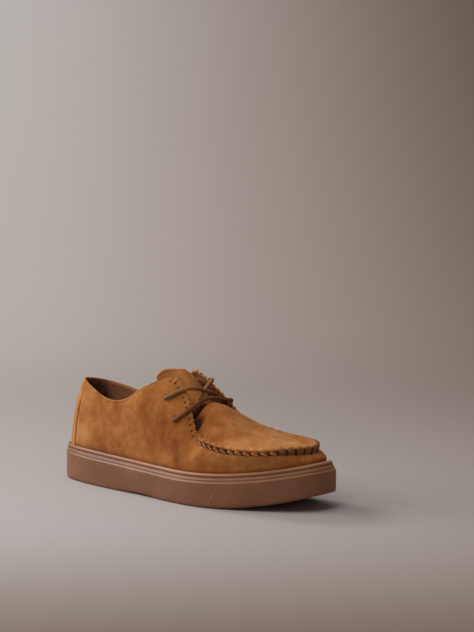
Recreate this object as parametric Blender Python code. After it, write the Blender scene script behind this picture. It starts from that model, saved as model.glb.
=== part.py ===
"""Suede moccasin-toe sneaker, right shoe, as separate solids.

Frame, in metres: +X towards the toe, +Y towards the inner (medial) side, +Z up.
The origin is on the floor, under the middle of the shoe's box.
The outer (lateral) side of this right shoe is at -Y.

Places on the upper use two parameters. Round the shoe, u runs from 0 at the heel along the
lateral side to 1 at the toe, and back along the medial side to 2 at the heel. Up the shoe,
v is -1 at the lower edge inside the cup, 0 at the lip of the sole, 1 at the top edge
(collar, eyestay or moccasin seam) and 2 at the middle line of the apron.
"""

import math
from collections import namedtuple

import bmesh
import bpy
import numpy as np
from mathutils import Vector

MM = 0.001

# Driving dimensions
LENGTH = 302 * MM
BALL_WIDTH = 106 * MM
INSTEP_HEIGHT = 109 * MM
HEEL_HEIGHT = 97 * MM
TOE_SPRING = 15 * MM

# Fits and walls
GAP = 0.3 * MM
UPPER_WALL = 2.6 * MM
TONGUE_WALL = 2.2 * MM
INSOLE_THICKNESS = 4.5 * MM
CUP_FLOOR_HEEL = 13 * MM
CUP_FLOOR_BALL = 10 * MM

# Sole
PLAN_POWER = 0.735
BALL_BREAK = 0.68
ARCH_LIFT = 1.2 * MM
ARCH_FROM = 0.28
ARCH_TO = 0.54
UPPER_INSET = 6.5 * MM
HEEL_INSET = 4.0 * MM
HEEL_INSET_FROM = 0.10
HEEL_INSET_TO = 0.32
TOE_INSET = 9.0 * MM
TOE_INSET_FROM = 0.78

# Upper
THROAT_BASE = 0.616
HANDLE = 0.40
APRON_SIDE_IN = 0.34
APRON_SIDE_UP = 0.36
APRON_TOP_OUT = 0.36
SPINE_FRONT = 0.897
STRIP_EDGE = 0.168
STRIP_STEP = 0.004
STRIP_CLEAR = 0.002
STRIP_RECESS = 1.7 * MM
STRIP_SINK = 0.4 * MM
SEAM_FADE_FROM = 0.35
SEAM_FADE_LENGTH = 0.05
SEAM_TOE_GAIN = 0.45
SEAM_TOE_FROM = 0.72

# Lace
LACE_RADIUS = 2.0 * MM
LACE_CLEAR = 0.8 * MM
EYELET_RADIUS = 2.4 * MM

# Mesh density: columns between the heel, the strip's edge, the throat and the toe
COLUMNS = (4, 17, 18)
WALL_FRACTIONS = (0.0, 0.16, 0.34, 0.52, 0.70, 0.86)
APRON_FRACTIONS = (0.0, 0.3, 0.65, 1.0)

# Plan of the outsole: station along LENGTH, sideways swing and half width over BALL_WIDTH
Plan = namedtuple("Plan", "station swing half_width")
SOLE_PLAN = (
    Plan(0.00, -0.002, 0.360),
    Plan(0.10, -0.002, 0.364),
    Plan(0.20, -0.003, 0.369),
    Plan(0.35, -0.014, 0.370),
    Plan(0.50, -0.017, 0.413),
    Plan(0.66, 0.005, 0.498),
    Plan(0.80, 0.052, 0.501),
    Plan(0.92, 0.096, 0.471),
    Plan(1.00, 0.112, 0.450),
)

# Height of the sole's lip above the floor
Lip = namedtuple("Lip", "station height")
LIP_LINE = (
    Lip(0.00, 33.6 * MM),
    Lip(0.30, 31.7 * MM),
    Lip(0.66, 29.9 * MM),
    Lip(0.85, 34.4 * MM),
    Lip(1.00, 43.0 * MM),
)

# Side of the cup, from the tread up and over the lip. Inset is from the outermost outline.
# Height is above the bottom edge, or below the lip where it is negative. The insets of groove
# and lip shrink with the upper's inset round the heel.
Ring = namedtuple("Ring", "name inset height")
CUP_RINGS = (
    Ring("tread edge", 2.4 * MM, 0.0),
    Ring("bevel", 0.8 * MM, 0.7 * MM),
    Ring("wall foot", 0.1 * MM, 2.4 * MM),
    Ring("wall top", 0.0, -8.6 * MM),
    Ring("shoulder", 0.3 * MM, -7.7 * MM),
    Ring("ledge", 1.1 * MM, -7.2 * MM),
    Ring("band", 1.2 * MM, -5.4 * MM),
    Ring("rib", 1.8 * MM, -4.9 * MM),
    Ring("groove edge", 2.0 * MM, -3.8 * MM),
    Ring("groove", 3.0 * MM, -3.3 * MM),
    Ring("lip foot", 2.4 * MM, -2.8 * MM),
    Ring("lip side", 2.6 * MM, -1.2 * MM),
    Ring("lip crest", 4.0 * MM, -0.05 * MM),
    Ring("lip inside", 5.7 * MM, -0.9 * MM),
    Ring("cup wall", UPPER_INSET - GAP, -3.0 * MM),
)

# Top edge of the upper, a row for each section from heel to toe. Base is the station of the
# section's foot on the sole and x, medial_x the stations of its top, over LENGTH. Lateral and
# medial are half widths over BALL_WIDTH. The heights are over INSTEP_HEIGHT. Foot lean is
# outwards and edge lean inwards, in degrees from upright.
Section = namedtuple(
    "Section", "name base x medial_x lateral medial height medial_height foot_lean edge_lean"
)
HEEL = HEEL_HEIGHT / INSTEP_HEIGHT
TOP_EDGE = (
    Section("heel", 0.000, 0.066, 0.066, 0.000, 0.000, HEEL, HEEL, -8, 20),
    Section("quarter", 0.146, 0.172, 0.170, 0.226, 0.231, 0.826, 0.811, 3, 12),
    Section("ankle dip", 0.265, 0.275, 0.273, 0.288, 0.288, 0.761, 0.761, 5, 8),
    Section("collar rise", 0.351, 0.351, 0.349, 0.302, 0.302, 0.812, 0.814, 4, 18),
    Section("collar front", 0.411, 0.404, 0.396, 0.272, 0.276, 0.908, 0.914, 3, 32),
    Section("eyestay top", 0.467, 0.494, 0.466, 0.184, 0.198, 1.000, 1.014, 2, 44),
    Section("eyestay 1", 0.497, 0.519, 0.497, 0.176, 0.196, 0.966, 0.980, 2, 47),
    Section("eyestay 2", 0.530, 0.546, 0.539, 0.193, 0.217, 0.886, 0.890, 3, 49),
    Section("eyestay 3", 0.570, 0.578, 0.575, 0.231, 0.262, 0.765, 0.785, 4, 51),
    Section("throat", THROAT_BASE, 0.621, 0.621, 0.292, 0.325, 0.560, 0.626, 5, 52),
    Section("seam 1", 0.662, 0.657, 0.657, 0.335, 0.368, 0.508, 0.556, 8, 52),
    Section("seam 2", 0.712, 0.702, 0.702, 0.361, 0.404, 0.486, 0.520, 9, 55),
    Section("seam 3", 0.775, 0.762, 0.762, 0.363, 0.420, 0.472, 0.494, 10, 58),
    Section("seam 4", 0.868, 0.848, 0.842, 0.307, 0.386, 0.472, 0.480, 8, 58),
    Section("seam 5", 0.944, 0.908, 0.893, 0.172, 0.285, 0.478, 0.480, 5, 56),
    Section("toe", 1.000, 0.944, 0.944, -0.085, 0.085, 0.474, 0.474, 2, 54),
)

# Middle line of the apron and, behind the throat, of the tongue: station and height
Spine = namedtuple("Spine", "x height")
SPINE = (
    Spine(0.470, 1.046),
    Spine(0.497, 0.966),
    Spine(0.523, 0.880),
    Spine(0.546, 0.818),
    Spine(0.573, 0.788),
    Spine(0.599, 0.784),
    Spine(0.626, 0.768),
    Spine(0.662, 0.716),
    Spine(0.712, 0.636),
    Spine(0.762, 0.577),
    Spine(0.828, 0.535),
    Spine(0.894, 0.524),
    Spine(0.960, 0.522),
)

# Profile of the raised moccasin seam: distance across it, negative on the vamp side, and rise
SeamStep = namedtuple("SeamStep", "across rise")
SEAM_PROFILE = (
    SeamStep(-5.0 * MM, 0.0),
    SeamStep(-2.4 * MM, 0.0),
    SeamStep(-1.9 * MM, 3.2 * MM),
    SeamStep(0.0, 4.4 * MM),
    SeamStep(1.9 * MM, 3.3 * MM),
    SeamStep(4.0 * MM, 1.3 * MM),
    SeamStep(7.0 * MM, 0.0),
)

# Tongue sections from the throat up: stations of the middle and of the two side edges, half
# widths over BALL_WIDTH and heights of the side edges over INSTEP_HEIGHT
TongueRow = namedtuple(
    "TongueRow", "spine side medial_side lateral medial height medial_height"
)
TONGUE_ROWS = (
    TongueRow(0.620, 0.620, 0.620, 0.258, 0.290, 0.583, 0.641),
    TongueRow(0.595, 0.590, 0.590, 0.256, 0.282, 0.612, 0.656),
    TongueRow(0.560, 0.545, 0.548, 0.240, 0.250, 0.690, 0.715),
    TongueRow(0.520, 0.486, 0.510, 0.215, 0.215, 0.805, 0.840),
    TongueRow(0.490, 0.434, 0.480, 0.200, 0.192, 0.940, 0.920),
    TongueRow(0.470, 0.434, 0.457, 0.188, 0.180, 1.056, 0.980),
)
TONGUE_STEPS = 11
TONGUE_COLUMNS = 12

# Lace holes: station of the section's foot and height up the wall
Eyelet = namedtuple("Eyelet", "name base up")
EYELETS = (Eyelet("upper", 0.476, 0.755), Eyelet("lower", 0.540, 0.645))

# Runs of the lace. A point on the shoe names a side, the station of the section's foot and the
# height up the wall. A free point holds x over LENGTH, y over BALL_WIDTH and z over INSTEP_HEIGHT.
OnShoe = namedtuple("OnShoe", "side base up")
Free = namedtuple("Free", "x y z")
LACE_RUNS = {
    "bar": (
        OnShoe("lateral", 0.547, 0.64),
        OnShoe("lateral", 0.5575, 0.72),
        OnShoe("lateral", 0.566, 0.83),
        OnShoe("lateral", 0.570, 0.93),
        OnShoe("lateral", 0.572, 1.0),
        Free(0.584, -0.094, 0.813),
        Free(0.587, 0.019, 0.823),
        Free(0.586, 0.132, 0.801),
        OnShoe("medial", 0.576, 1.0),
        OnShoe("medial", 0.563, 0.84),
        OnShoe("medial", 0.547, 0.64),
    ),
    "over run": (
        OnShoe("lateral", 0.482, 0.742),
        OnShoe("lateral", 0.4925, 0.78),
        OnShoe("lateral", 0.5025, 0.827),
        OnShoe("lateral", 0.5125, 0.90),
        OnShoe("lateral", 0.527, 1.0),
        Free(0.551, 0.005, 0.881),
        Free(0.556, 0.085, 0.860),
        Free(0.555, 0.160, 0.834),
    ),
    "crossing run": (
        OnShoe("medial", 0.476, 0.755),
        OnShoe("medial", 0.496, 0.88),
        OnShoe("medial", 0.517, 1.0),
        Free(0.531, 0.142, 0.905),
        Free(0.549, 0.013, 0.850),
        Free(0.580, -0.166, 0.800),
    ),
}
LACE_SAMPLES = 20

# Tread grooves under heel and forefoot: station and length across
Groove = namedtuple("Groove", "station length")
GROOVES = (
    Groove(0.10, 40 * MM),
    Groove(0.16, 46 * MM),
    Groove(0.22, 46 * MM),
    Groove(0.52, 56 * MM),
    Groove(0.575, 66 * MM),
    Groove(0.63, 72 * MM),
    Groove(0.685, 76 * MM),
)
GROOVE_WIDTH = 3 * MM
GROOVE_DEPTH = 1.5 * MM


# Curves


def spline(knots, values):
    """Natural cubic spline through the knots, as a function of an array."""
    knots = np.asarray(knots, float)
    values = np.asarray(values, float)
    steps = np.diff(knots)
    slopes = np.diff(values) / steps
    count = len(knots)
    matrix = np.eye(count)
    right = np.zeros(count)
    for i in range(1, count - 1):
        matrix[i, i - 1 : i + 2] = (steps[i - 1], 2 * (steps[i - 1] + steps[i]), steps[i])
        right[i] = 6 * (slopes[i] - slopes[i - 1])
    bend = np.linalg.solve(matrix, right)

    def at(x):
        x = np.asarray(x, float)
        i = np.clip(np.searchsorted(knots, x) - 1, 0, count - 2)
        t = x - knots[i]
        h = steps[i]
        first = slopes[i] - h * (2 * bend[i] + bend[i + 1]) / 6
        return values[i] + t * (first + t * (bend[i] / 2 + t * (bend[i + 1] - bend[i]) / (6 * h)))

    return at


def closed_spline(knots, values, period):
    """Spline that repeats after the period."""
    knots = np.asarray(knots, float)
    tiled = np.concatenate([knots - period, knots, knots + period])
    curve = spline(tiled, np.tile(values, 3))
    return lambda x: curve(np.mod(x, period))


def bezier(p0, p1, p2, p3, t):
    """Cubic curve, with t as an array that matches the points' rows."""
    t = np.asarray(t)[..., None]
    s = 1 - t
    return s**3 * p0 + 3 * s**2 * t * p1 + 3 * s * t**2 * p2 + t**3 * p3


def unit(vectors):
    return vectors / np.maximum(np.linalg.norm(vectors, axis=-1, keepdims=True), 1e-12)


def station_of(u):
    return (1 - np.cos(math.pi * np.asarray(u, float))) / 2


def u_of(station):
    return math.acos(1 - 2 * station) / math.pi


# Sole lines

swing_at = spline([p.station for p in SOLE_PLAN], [p.swing for p in SOLE_PLAN])
half_width_at = spline([p.station for p in SOLE_PLAN], [p.half_width for p in SOLE_PLAN])
lip_at = spline([p.station for p in LIP_LINE], [p.height for p in LIP_LINE])


def plan(u):
    """Outermost outline of the sole, as x and y with the heel at x = 0."""
    station = station_of(u)
    sine = np.sin(math.pi * np.asarray(u, float))
    reach = np.sign(sine) * np.abs(sine) ** PLAN_POWER
    y = BALL_WIDTH * (swing_at(station) - half_width_at(station) * reach)
    return np.stack([LENGTH * station, y], axis=-1)


def plan_middle():
    """Middle of the outline's width."""
    across = plan(np.linspace(0, 2, 2001))[:, 1]
    return (across.min() + across.max()) / 2


def plan_normal(u):
    """Outward direction of the outline."""
    along = plan(np.asarray(u) + 1e-4) - plan(np.asarray(u) - 1e-4)
    return unit(np.stack([along[..., 1], -along[..., 0]], axis=-1))


def inset_plan(u, inset):
    return plan(u) - np.asarray(inset)[..., None] * plan_normal(u)


def smooth_step(value, start, end):
    share = np.clip((np.asarray(value, float) - start) / (end - start), 0, 1)
    return share * share * (3 - 2 * share)


def upper_inset(u):
    """How far inside the outline the upper stands: close to the edge at the heel, less so at the toe."""
    side = np.abs(1 - np.mod(1 + np.asarray(u, float), 2))
    at_side = smooth_step(side, HEEL_INSET_FROM, HEEL_INSET_TO)
    at_toe = smooth_step(side, TOE_INSET_FROM, 1.0)
    return HEEL_INSET + (UPPER_INSET - HEEL_INSET) * at_side + (TOE_INSET - UPPER_INSET) * at_toe


def bottom_at(station):
    """Underside: flat at heel and ball, a low arch between them and the toe spring."""
    station = np.asarray(station, float)
    toe = np.clip((station - BALL_BREAK) / (1 - BALL_BREAK), 0, 1)
    waist = np.clip((station - ARCH_FROM) / (ARCH_TO - ARCH_FROM), 0, 1)
    return TOE_SPRING * toe**2 + ARCH_LIFT * np.sin(math.pi * waist) ** 2


def floor_at(station):
    """Inside floor of the cup."""
    ease = smooth_step(station, 0.15, 0.65)
    toe = np.clip((station - BALL_BREAK) / (1 - BALL_BREAK), 0, 1)
    return CUP_FLOOR_HEEL + (CUP_FLOOR_BALL - CUP_FLOOR_HEEL) * ease + TOE_SPRING * toe**2


# Surface of the upper

PLAN_MIDDLE = plan_middle()
LAST_U = [u_of(row.base) for row in TOP_EDGE]
EDGE_U = LAST_U + [2 - u for u in LAST_U[-2:0:-1]]


def round_the_shoe(lateral, medial):
    """Closed curve over u from a lateral and a medial value for each section."""
    return closed_spline(EDGE_U, list(lateral) + list(medial)[-2:0:-1], 2.0)


edge_x = round_the_shoe([r.x * LENGTH for r in TOP_EDGE], [r.medial_x * LENGTH for r in TOP_EDGE])
edge_y = round_the_shoe(
    [-r.lateral * BALL_WIDTH for r in TOP_EDGE], [r.medial * BALL_WIDTH for r in TOP_EDGE]
)
edge_z = round_the_shoe(
    [r.height * INSTEP_HEIGHT for r in TOP_EDGE], [r.medial_height * INSTEP_HEIGHT for r in TOP_EDGE]
)
foot_lean = round_the_shoe([r.foot_lean for r in TOP_EDGE], [r.foot_lean for r in TOP_EDGE])
edge_lean = round_the_shoe([r.edge_lean for r in TOP_EDGE], [r.edge_lean for r in TOP_EDGE])
spine_z = spline([p.x for p in SPINE], [p.height * INSTEP_HEIGHT for p in SPINE])

THROAT_U = u_of(THROAT_BASE)


def top_edge(u):
    return np.stack([edge_x(u), edge_y(u), edge_z(u)], axis=-1)


def foot(u):
    """Where the upper leaves the cup, at the lip."""
    flat = inset_plan(u, upper_inset(u))
    return np.concatenate([flat, lip_at(station_of(u))[..., None]], axis=-1)


def lean_direction(u, degrees):
    """Unit vector that leans outwards from upright by an angle."""
    angle = np.radians(degrees)[..., None]
    flat = plan_normal(u) * np.sin(angle)
    return np.concatenate([flat, np.cos(angle)], axis=-1)


def wall(u, v):
    """Side of the upper between the lip, v = 0, and the top edge, v = 1."""
    low, high = foot(u), top_edge(u)
    reach = HANDLE * np.linalg.norm(high - low, axis=-1, keepdims=True)
    low_handle = low + reach * lean_direction(u, foot_lean(u))
    high_handle = high - reach * lean_direction(u, -edge_lean(u))
    return bezier(low, low_handle, high_handle, high, v)


def spine(u):
    """Middle line of the apron, for the section with its foot at u."""
    u = np.asarray(u, float)
    side = 1 - np.abs(1 - u)
    share = np.clip((side - THROAT_U) / (1 - THROAT_U), 0, 1)
    throat_x = edge_x(THROAT_U) / LENGTH
    x = throat_x + (SPINE_FRONT - throat_x) * share
    y = (edge_y(side) + edge_y(2 - side)) / 2
    return np.stack([x * LENGTH, y, spine_z(x)], axis=-1)


def apron(u, t):
    """Top of the toe, from the seam, t = 0, to the middle line, t = 1."""
    low, high = top_edge(u), spine(u)
    across = low - high
    across[..., 2] = 0
    rise = (high - low)[..., 2:3]
    width = np.linalg.norm(across, axis=-1, keepdims=True)
    outward = across / np.maximum(width, 1e-9)
    up = np.array([0.0, 0.0, 1.0])
    low_handle = low - outward * width * APRON_SIDE_IN + up * rise * APRON_SIDE_UP
    high_handle = high + outward * width * APRON_TOP_OUT
    return bezier(low, low_handle, high_handle, high, t)


def surface(u, v):
    """Smooth outer surface of the upper, before the seam and the heel recess are added."""
    u, v = np.broadcast_arrays(np.asarray(u, float), np.asarray(v, float))
    side = wall(u, np.clip(v, 0, 1))
    station = station_of(u)
    drop = lip_at(station) - floor_at(station) - GAP
    side[..., 2] += np.clip(v, -1, 0) * drop
    return np.where((v > 1)[..., None], apron(u, np.clip(v - 1, 0, 1)), side)


def is_seam(u):
    return np.abs(1 - np.asarray(u)) <= 1 - THROAT_U + 1e-6


def normals(u, v, low=-1.0):
    """Outward normals of the smooth surface."""
    u, v = np.broadcast_arrays(np.asarray(u, float), np.asarray(v, float))
    step = 2e-3
    high = np.where(is_seam(u), 2.0, 1.0)
    along = surface(u + step, v) - surface(u - step, v)
    up = surface(u, np.minimum(v + step, high)) - surface(u, np.maximum(v - step, low))
    return unit(np.cross(along, up))


def on_upper(u, v, out):
    """Point at a distance outside the upper's surface."""
    return surface(u, v) + normals(u, v) * np.asarray(out)[..., None]


# Mesh helpers


def centred(points):
    """From stations that start at the heel to the part's own frame."""
    return np.asarray(points, float) - np.array([LENGTH / 2, PLAN_MIDDLE, 0])


def new_object(name, mesh, collection):
    obj = bpy.data.objects.new(name, mesh)
    collection.objects.link(obj)
    return obj


def mesh_from(points, faces, name):
    """Closed mesh with its faces pointing out."""
    mesh = bpy.data.meshes.new(name)
    bm = bmesh.new()
    verts = [bm.verts.new(p) for p in centred(points)]
    for face in faces:
        bm.faces.new([verts[k] for k in face])
    bmesh.ops.recalc_face_normals(bm, faces=bm.faces)
    bm.to_mesh(mesh)
    bm.free()
    mesh.shade_smooth()
    mesh.set_sharp_from_angle(angle=math.radians(40))
    return mesh


def thick_sheet(outer, inner, quads):
    """Points and faces of a wall between two sheets of the same faces, closed round its edges."""
    count = len(outer)
    edges = {}
    for quad in quads:
        for a, b in zip(quad, quad[1:] + quad[:1]):
            edges[(a, b)] = edges.get((a, b), 0) + 1
    rim = [(a, b) for a, b in edges if (b, a) not in edges]
    faces = list(quads)
    faces += [tuple(count + k for k in reversed(quad)) for quad in quads]
    faces += [(b, a, a + count, b + count) for a, b in rim]
    return np.concatenate([outer, inner]), faces


def grid_quads(rows, columns):
    """Faces of an open grid whose points run column by column."""
    return [
        (c * rows + r, (c + 1) * rows + r, (c + 1) * rows + r + 1, c * rows + r + 1)
        for c in range(columns - 1)
        for r in range(rows - 1)
    ]


def ring_loft(rings):
    """Points and faces of a solid through closed rings, capped across from side to side."""
    count = len(rings[0])
    faces = []
    for k in range(len(rings) - 1):
        for j in range(count):
            n = (j + 1) % count
            faces.append((k * count + j, k * count + n, (k + 1) * count + n, (k + 1) * count + j))
    for base, turn in ((0, True), ((len(rings) - 1) * count, False)):
        for j in range(count // 2):
            cap = [base + j, base + j + 1, base + (count - j - 1) % count, base + (count - j) % count]
            cap = list(dict.fromkeys(cap))
            faces.append(tuple(reversed(cap)) if turn else tuple(cap))
    return np.concatenate(rings), faces


def column_parameters():
    """Values of u round the shoe, even along foot and top edge, the same on both sides."""
    stops = (0.0, STRIP_EDGE, THROAT_U, 1.0)
    half = []
    for start, end, count in zip(stops, stops[1:], COLUMNS):
        fine = np.linspace(start, end, 400)
        path = np.concatenate([foot(fine), top_edge(fine)], axis=-1)
        length = np.concatenate([[0], np.cumsum(np.linalg.norm(np.diff(path, axis=0), axis=1))])
        half += list(np.interp(np.linspace(0, length[-1], count + 1)[:-1], length, fine))
    half[COLUMNS[0]] = STRIP_EDGE - STRIP_STEP
    half.insert(COLUMNS[0] + 1, STRIP_EDGE + STRIP_STEP)
    return np.array(half + [1.0] + [2 - u for u in half[:0:-1]])


# Pieces


def material(name, colour, roughness):
    mat = bpy.data.materials.new(name)
    mat.use_nodes = True
    shader = mat.node_tree.nodes["Principled BSDF"]
    shader.inputs["Base Color"].default_value = (*colour, 1)
    shader.inputs["Roughness"].default_value = roughness
    shader.inputs["Metallic"].default_value = 0.0
    return mat


def cutter(mesh_name, make, collection, location, rotation=None):
    """Hidden tool shape that a Boolean reads."""
    mesh = bpy.data.meshes.new(mesh_name)
    bm = bmesh.new()
    make(bm)
    bm.to_mesh(mesh)
    bm.free()
    obj = new_object(mesh_name, mesh, collection)
    obj.location = location
    if rotation is not None:
        obj.rotation_mode = "QUATERNION"
        obj.rotation_quaternion = rotation
    obj.hide_render = True
    obj.display_type = "WIRE"
    return obj


def cut(obj, tool):
    modifier = obj.modifiers.new(tool.name, "BOOLEAN")
    modifier.operation = "DIFFERENCE"
    modifier.solver = "EXACT"
    modifier.object = tool


def build_outsole(columns, parts, cutters):
    """Moulded rubber cup: tread, side wall, shoulder rib, stitch groove, lip and inside floor."""
    station = station_of(columns)
    bottom, lip = bottom_at(station), lip_at(station)
    rings = []
    shrink = upper_inset(columns) / UPPER_INSET
    for ring in CUP_RINGS:
        above = ring.height < 0
        height = (lip if above else bottom) + ring.height
        inset = ring.inset * (shrink if above else np.ones_like(shrink))
        rings.append(np.column_stack([inset_plan(columns, inset), height]))
    cup = upper_inset(columns) - GAP
    rings[-1] = np.column_stack([inset_plan(columns, cup), rings[-1][:, 2]])
    rings.append(np.column_stack([inset_plan(columns, cup), floor_at(station)]))
    points, faces = ring_loft(rings)
    outsole = new_object("outsole", mesh_from(points, faces, "outsole"), parts)
    for k, groove in enumerate(GROOVES):
        middle = swing_at(groove.station) * BALL_WIDTH
        size = (GROOVE_WIDTH, groove.length, 2 * GROOVE_DEPTH)
        place = centred((groove.station * LENGTH, float(middle), 0.0))

        def bar(bm, size=size):
            bmesh.ops.create_cube(bm, size=1.0)
            bmesh.ops.scale(bm, vec=size, verts=bm.verts)

        cut(outsole, cutter(f"tread_groove_{k}", bar, cutters, place))
    return outsole


def build_insole(columns, parts):
    """Footbed on the floor of the cup, inside the upper."""
    station = station_of(columns)
    base = floor_at(station) + GAP
    inset = upper_inset(columns) + UPPER_WALL + GAP
    levels = (
        (1.0 * MM, 0.0),
        (0.0, 0.8 * MM),
        (0.0, INSOLE_THICKNESS - 1.2 * MM),
        (1.5 * MM, INSOLE_THICKNESS),
    )
    rings = [np.column_stack([inset_plan(columns, inset + side), base + up]) for side, up in levels]
    points, faces = ring_loft(rings)
    return new_object("insole", mesh_from(points, faces, "insole"), parts)


def seam_strength(u):
    """1 along the sides and more at the toe, fading towards the throat, 0 on eyestay and collar."""
    past = (1 - np.abs(1 - u)) - THROAT_U
    share = np.clip(past / SEAM_FADE_LENGTH, 0, 1)
    toe = 1 + SEAM_TOE_GAIN * smooth_step(1 - np.abs(1 - u), SEAM_TOE_FROM, 0.95)
    return np.where(past < -1e-6, 0.0, SEAM_FADE_FROM + (1 - SEAM_FADE_FROM) * share) * toe


def column_rows(u):
    """Heights v and seam rises up one section, from the lower edge to its top."""
    side = np.linalg.norm(top_edge(u) - foot(u))
    before = [s for s in SEAM_PROFILE if s.across <= 0]
    reach = 1 + before[0].across / side
    rows = [(-1.0, 0.0), (-0.25, 0.0)]
    rows += [(reach * f, 0.0) for f in WALL_FRACTIONS]
    rows += [(1 + s.across / side, s.rise) for s in before]
    if is_seam(u):
        width = np.linalg.norm(spine(u) - top_edge(u))
        after = [s for s in SEAM_PROFILE if s.across > 0]
        rows += [(1 + s.across / width, s.rise) for s in after]
        start = rows[-1][0]
        rows += [(start + (2 - start) * f, 0.0) for f in APRON_FRACTIONS[1:]]
    return np.array(rows)


def heel_recess(u):
    """How far the wall is let in for the heel strip."""
    from_heel = np.minimum(u, 2 - u)
    return np.where(from_heel < STRIP_EDGE, STRIP_RECESS, 0.0)


def build_upper(columns, parts, cutters):
    """Vamp, quarters and apron as one hollow wall, with the raised seam and the lace holes."""
    count = len(columns)
    outer, inner, ids = [], [], []
    for j, u in enumerate(columns):
        rows = column_rows(u)
        v, rise = rows[:, 0], rows[:, 1] * seam_strength(u)
        base, normal = surface(u, v), normals(u, v)
        if abs(abs(1 - u) - (1 - THROAT_U)) < 1e-6:
            normal[v >= 1, 0] = 0
            normal = unit(normal)
        out = base + normal * (rise - heel_recess(u))[:, None]
        into = base - normal * UPPER_WALL
        column = []
        for i in range(len(rows)):
            meets = is_seam(u) and i == len(rows) - 1 and j > count // 2
            if meets:
                column.append(ids[count - j][-1])
                continue
            column.append(len(outer))
            outer.append(out[i])
            inner.append(into[i])
        ids.append(column)
    quads = []
    for j in range(count):
        left, right = ids[j], ids[(j + 1) % count]
        for i in range(min(len(left), len(right)) - 1):
            quad = tuple(dict.fromkeys((left[i], right[i], right[i + 1], left[i + 1])))
            quads.append(quad)
    points, faces = thick_sheet(np.array(outer), np.array(inner), quads)
    upper = new_object("upper", mesh_from(points, faces, "upper"), parts)
    for eyelet in EYELETS:
        for side, u in (("lateral", u_of(eyelet.base)), ("medial", 2 - u_of(eyelet.base))):
            axis = normals(u, eyelet.up)
            place = centred(surface(u, eyelet.up))

            def punch(bm):
                bmesh.ops.create_cone(
                    bm, cap_ends=True, segments=12, radius1=EYELET_RADIUS, radius2=EYELET_RADIUS,
                    depth=6 * UPPER_WALL,
                )

            turn = Vector(axis).to_track_quat("Z", "Y")
            cut(upper, cutter(f"lace_hole_{eyelet.name}_{side}", punch, cutters, place, turn))
    return upper


def build_heel_strip(columns, parts):
    """Back stay, let into the recess of the heel wall and just below the quarters' surface."""
    inside = [u for u in columns if min(u, 2 - u) < STRIP_EDGE]
    across = sorted(u - 2 if u > 1 else u for u in inside)
    across[0] += STRIP_CLEAR
    across[-1] -= STRIP_CLEAR
    outer, inner = [], []
    for u in across:
        v = column_rows(u % 2)[1:, 0]
        base, normal = surface(u % 2, v), normals(u % 2, v)
        outer.append(base - normal * STRIP_SINK)
        inner.append(base - normal * (STRIP_RECESS - GAP))
    quads = grid_quads(len(outer[0]), len(across))
    points, faces = thick_sheet(np.concatenate(outer), np.concatenate(inner), quads)
    return new_object("heel_strip", mesh_from(points, faces, "heel_strip"), parts)


def tongue_surface(share, t):
    """Tongue from the throat, share = 0, to its top, 1; t runs from -1 lateral to 1 medial."""
    knots = np.linspace(0, 1, len(TONGUE_ROWS))
    row = TongueRow(*(float(spline(knots, column)(share)) for column in zip(*TONGUE_ROWS)))
    middle = (row.medial - row.lateral) * BALL_WIDTH / 2
    crest = np.array([row.spine * LENGTH, middle, float(spine_z(row.spine))])
    points = []
    for value in t:
        x, y, z = row.side, -row.lateral, row.height
        if value > 0:
            x, y, z = row.medial_side, row.medial, row.medial_height
        low = np.array([x * LENGTH, y * BALL_WIDTH, z * INSTEP_HEIGHT])
        across = low - crest
        low_handle = low - across * (APRON_SIDE_IN, APRON_SIDE_IN, APRON_SIDE_UP)
        high_handle = crest + across * (APRON_TOP_OUT, APRON_TOP_OUT, 0.0)
        points.append(bezier(low, low_handle, high_handle, crest, 1 - abs(value)))
    return np.array(points)


def build_tongue(parts):
    """Sheet that continues the apron under the eyestay flaps."""
    t = np.linspace(-1, 1, TONGUE_COLUMNS + 1)
    rows = np.array([tongue_surface(s, t) for s in np.linspace(0, 1, TONGUE_STEPS)])
    along = np.gradient(rows, axis=0)
    across = np.gradient(rows, axis=1)
    normal = unit(np.cross(along, across))
    normal *= np.sign(normal[..., 2].mean())
    normal[0, :, 0] = 0
    under = rows - unit(normal) * TONGUE_WALL
    quads = grid_quads(TONGUE_COLUMNS + 1, TONGUE_STEPS)
    points, faces = thick_sheet(rows.reshape(-1, 3), under.reshape(-1, 3), quads)
    return new_object("tongue", mesh_from(points, faces, "tongue"), parts)


def tube(path, radius, samples, sides=8):
    """Points and faces of a round cord along a smooth path."""
    path = np.asarray(path, float)
    length = np.concatenate([[0], np.cumsum(np.linalg.norm(np.diff(path, axis=0), axis=1))])
    at = np.linspace(0, length[-1], samples)
    centres = np.column_stack([spline(length, path[:, k])(at) for k in range(3)])
    tangents = unit(np.gradient(centres, axis=0))
    side = unit(np.cross(tangents[0], (0.0, 0.0, 1.0)))
    points = []
    for centre, tangent in zip(centres, tangents):
        side = unit(side - tangent * side.dot(tangent))
        lift = np.cross(side, tangent)
        for k in range(sides):
            angle = 2 * math.pi * k / sides
            points.append(centre + radius * (side * math.cos(angle) + lift * math.sin(angle)))
    faces = []
    for i in range(samples - 1):
        for k in range(sides):
            n = (k + 1) % sides
            a, b = i * sides, (i + 1) * sides
            faces.append((a + k, a + n, b + n, b + k))
    faces.append(tuple(reversed(range(sides))))
    faces.append(tuple(range((samples - 1) * sides, samples * sides)))
    return np.array(points), faces


def lace_path(run):
    """Points of one run's middle line, clear of the upper."""
    path = []
    for point in run:
        if isinstance(point, OnShoe):
            u = u_of(point.base) if point.side == "lateral" else 2 - u_of(point.base)
            path.append(on_upper(u, point.up, LACE_RADIUS + LACE_CLEAR))
        else:
            path.append((point.x * LENGTH, point.y * BALL_WIDTH, point.z * INSTEP_HEIGHT))
    return path


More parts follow.
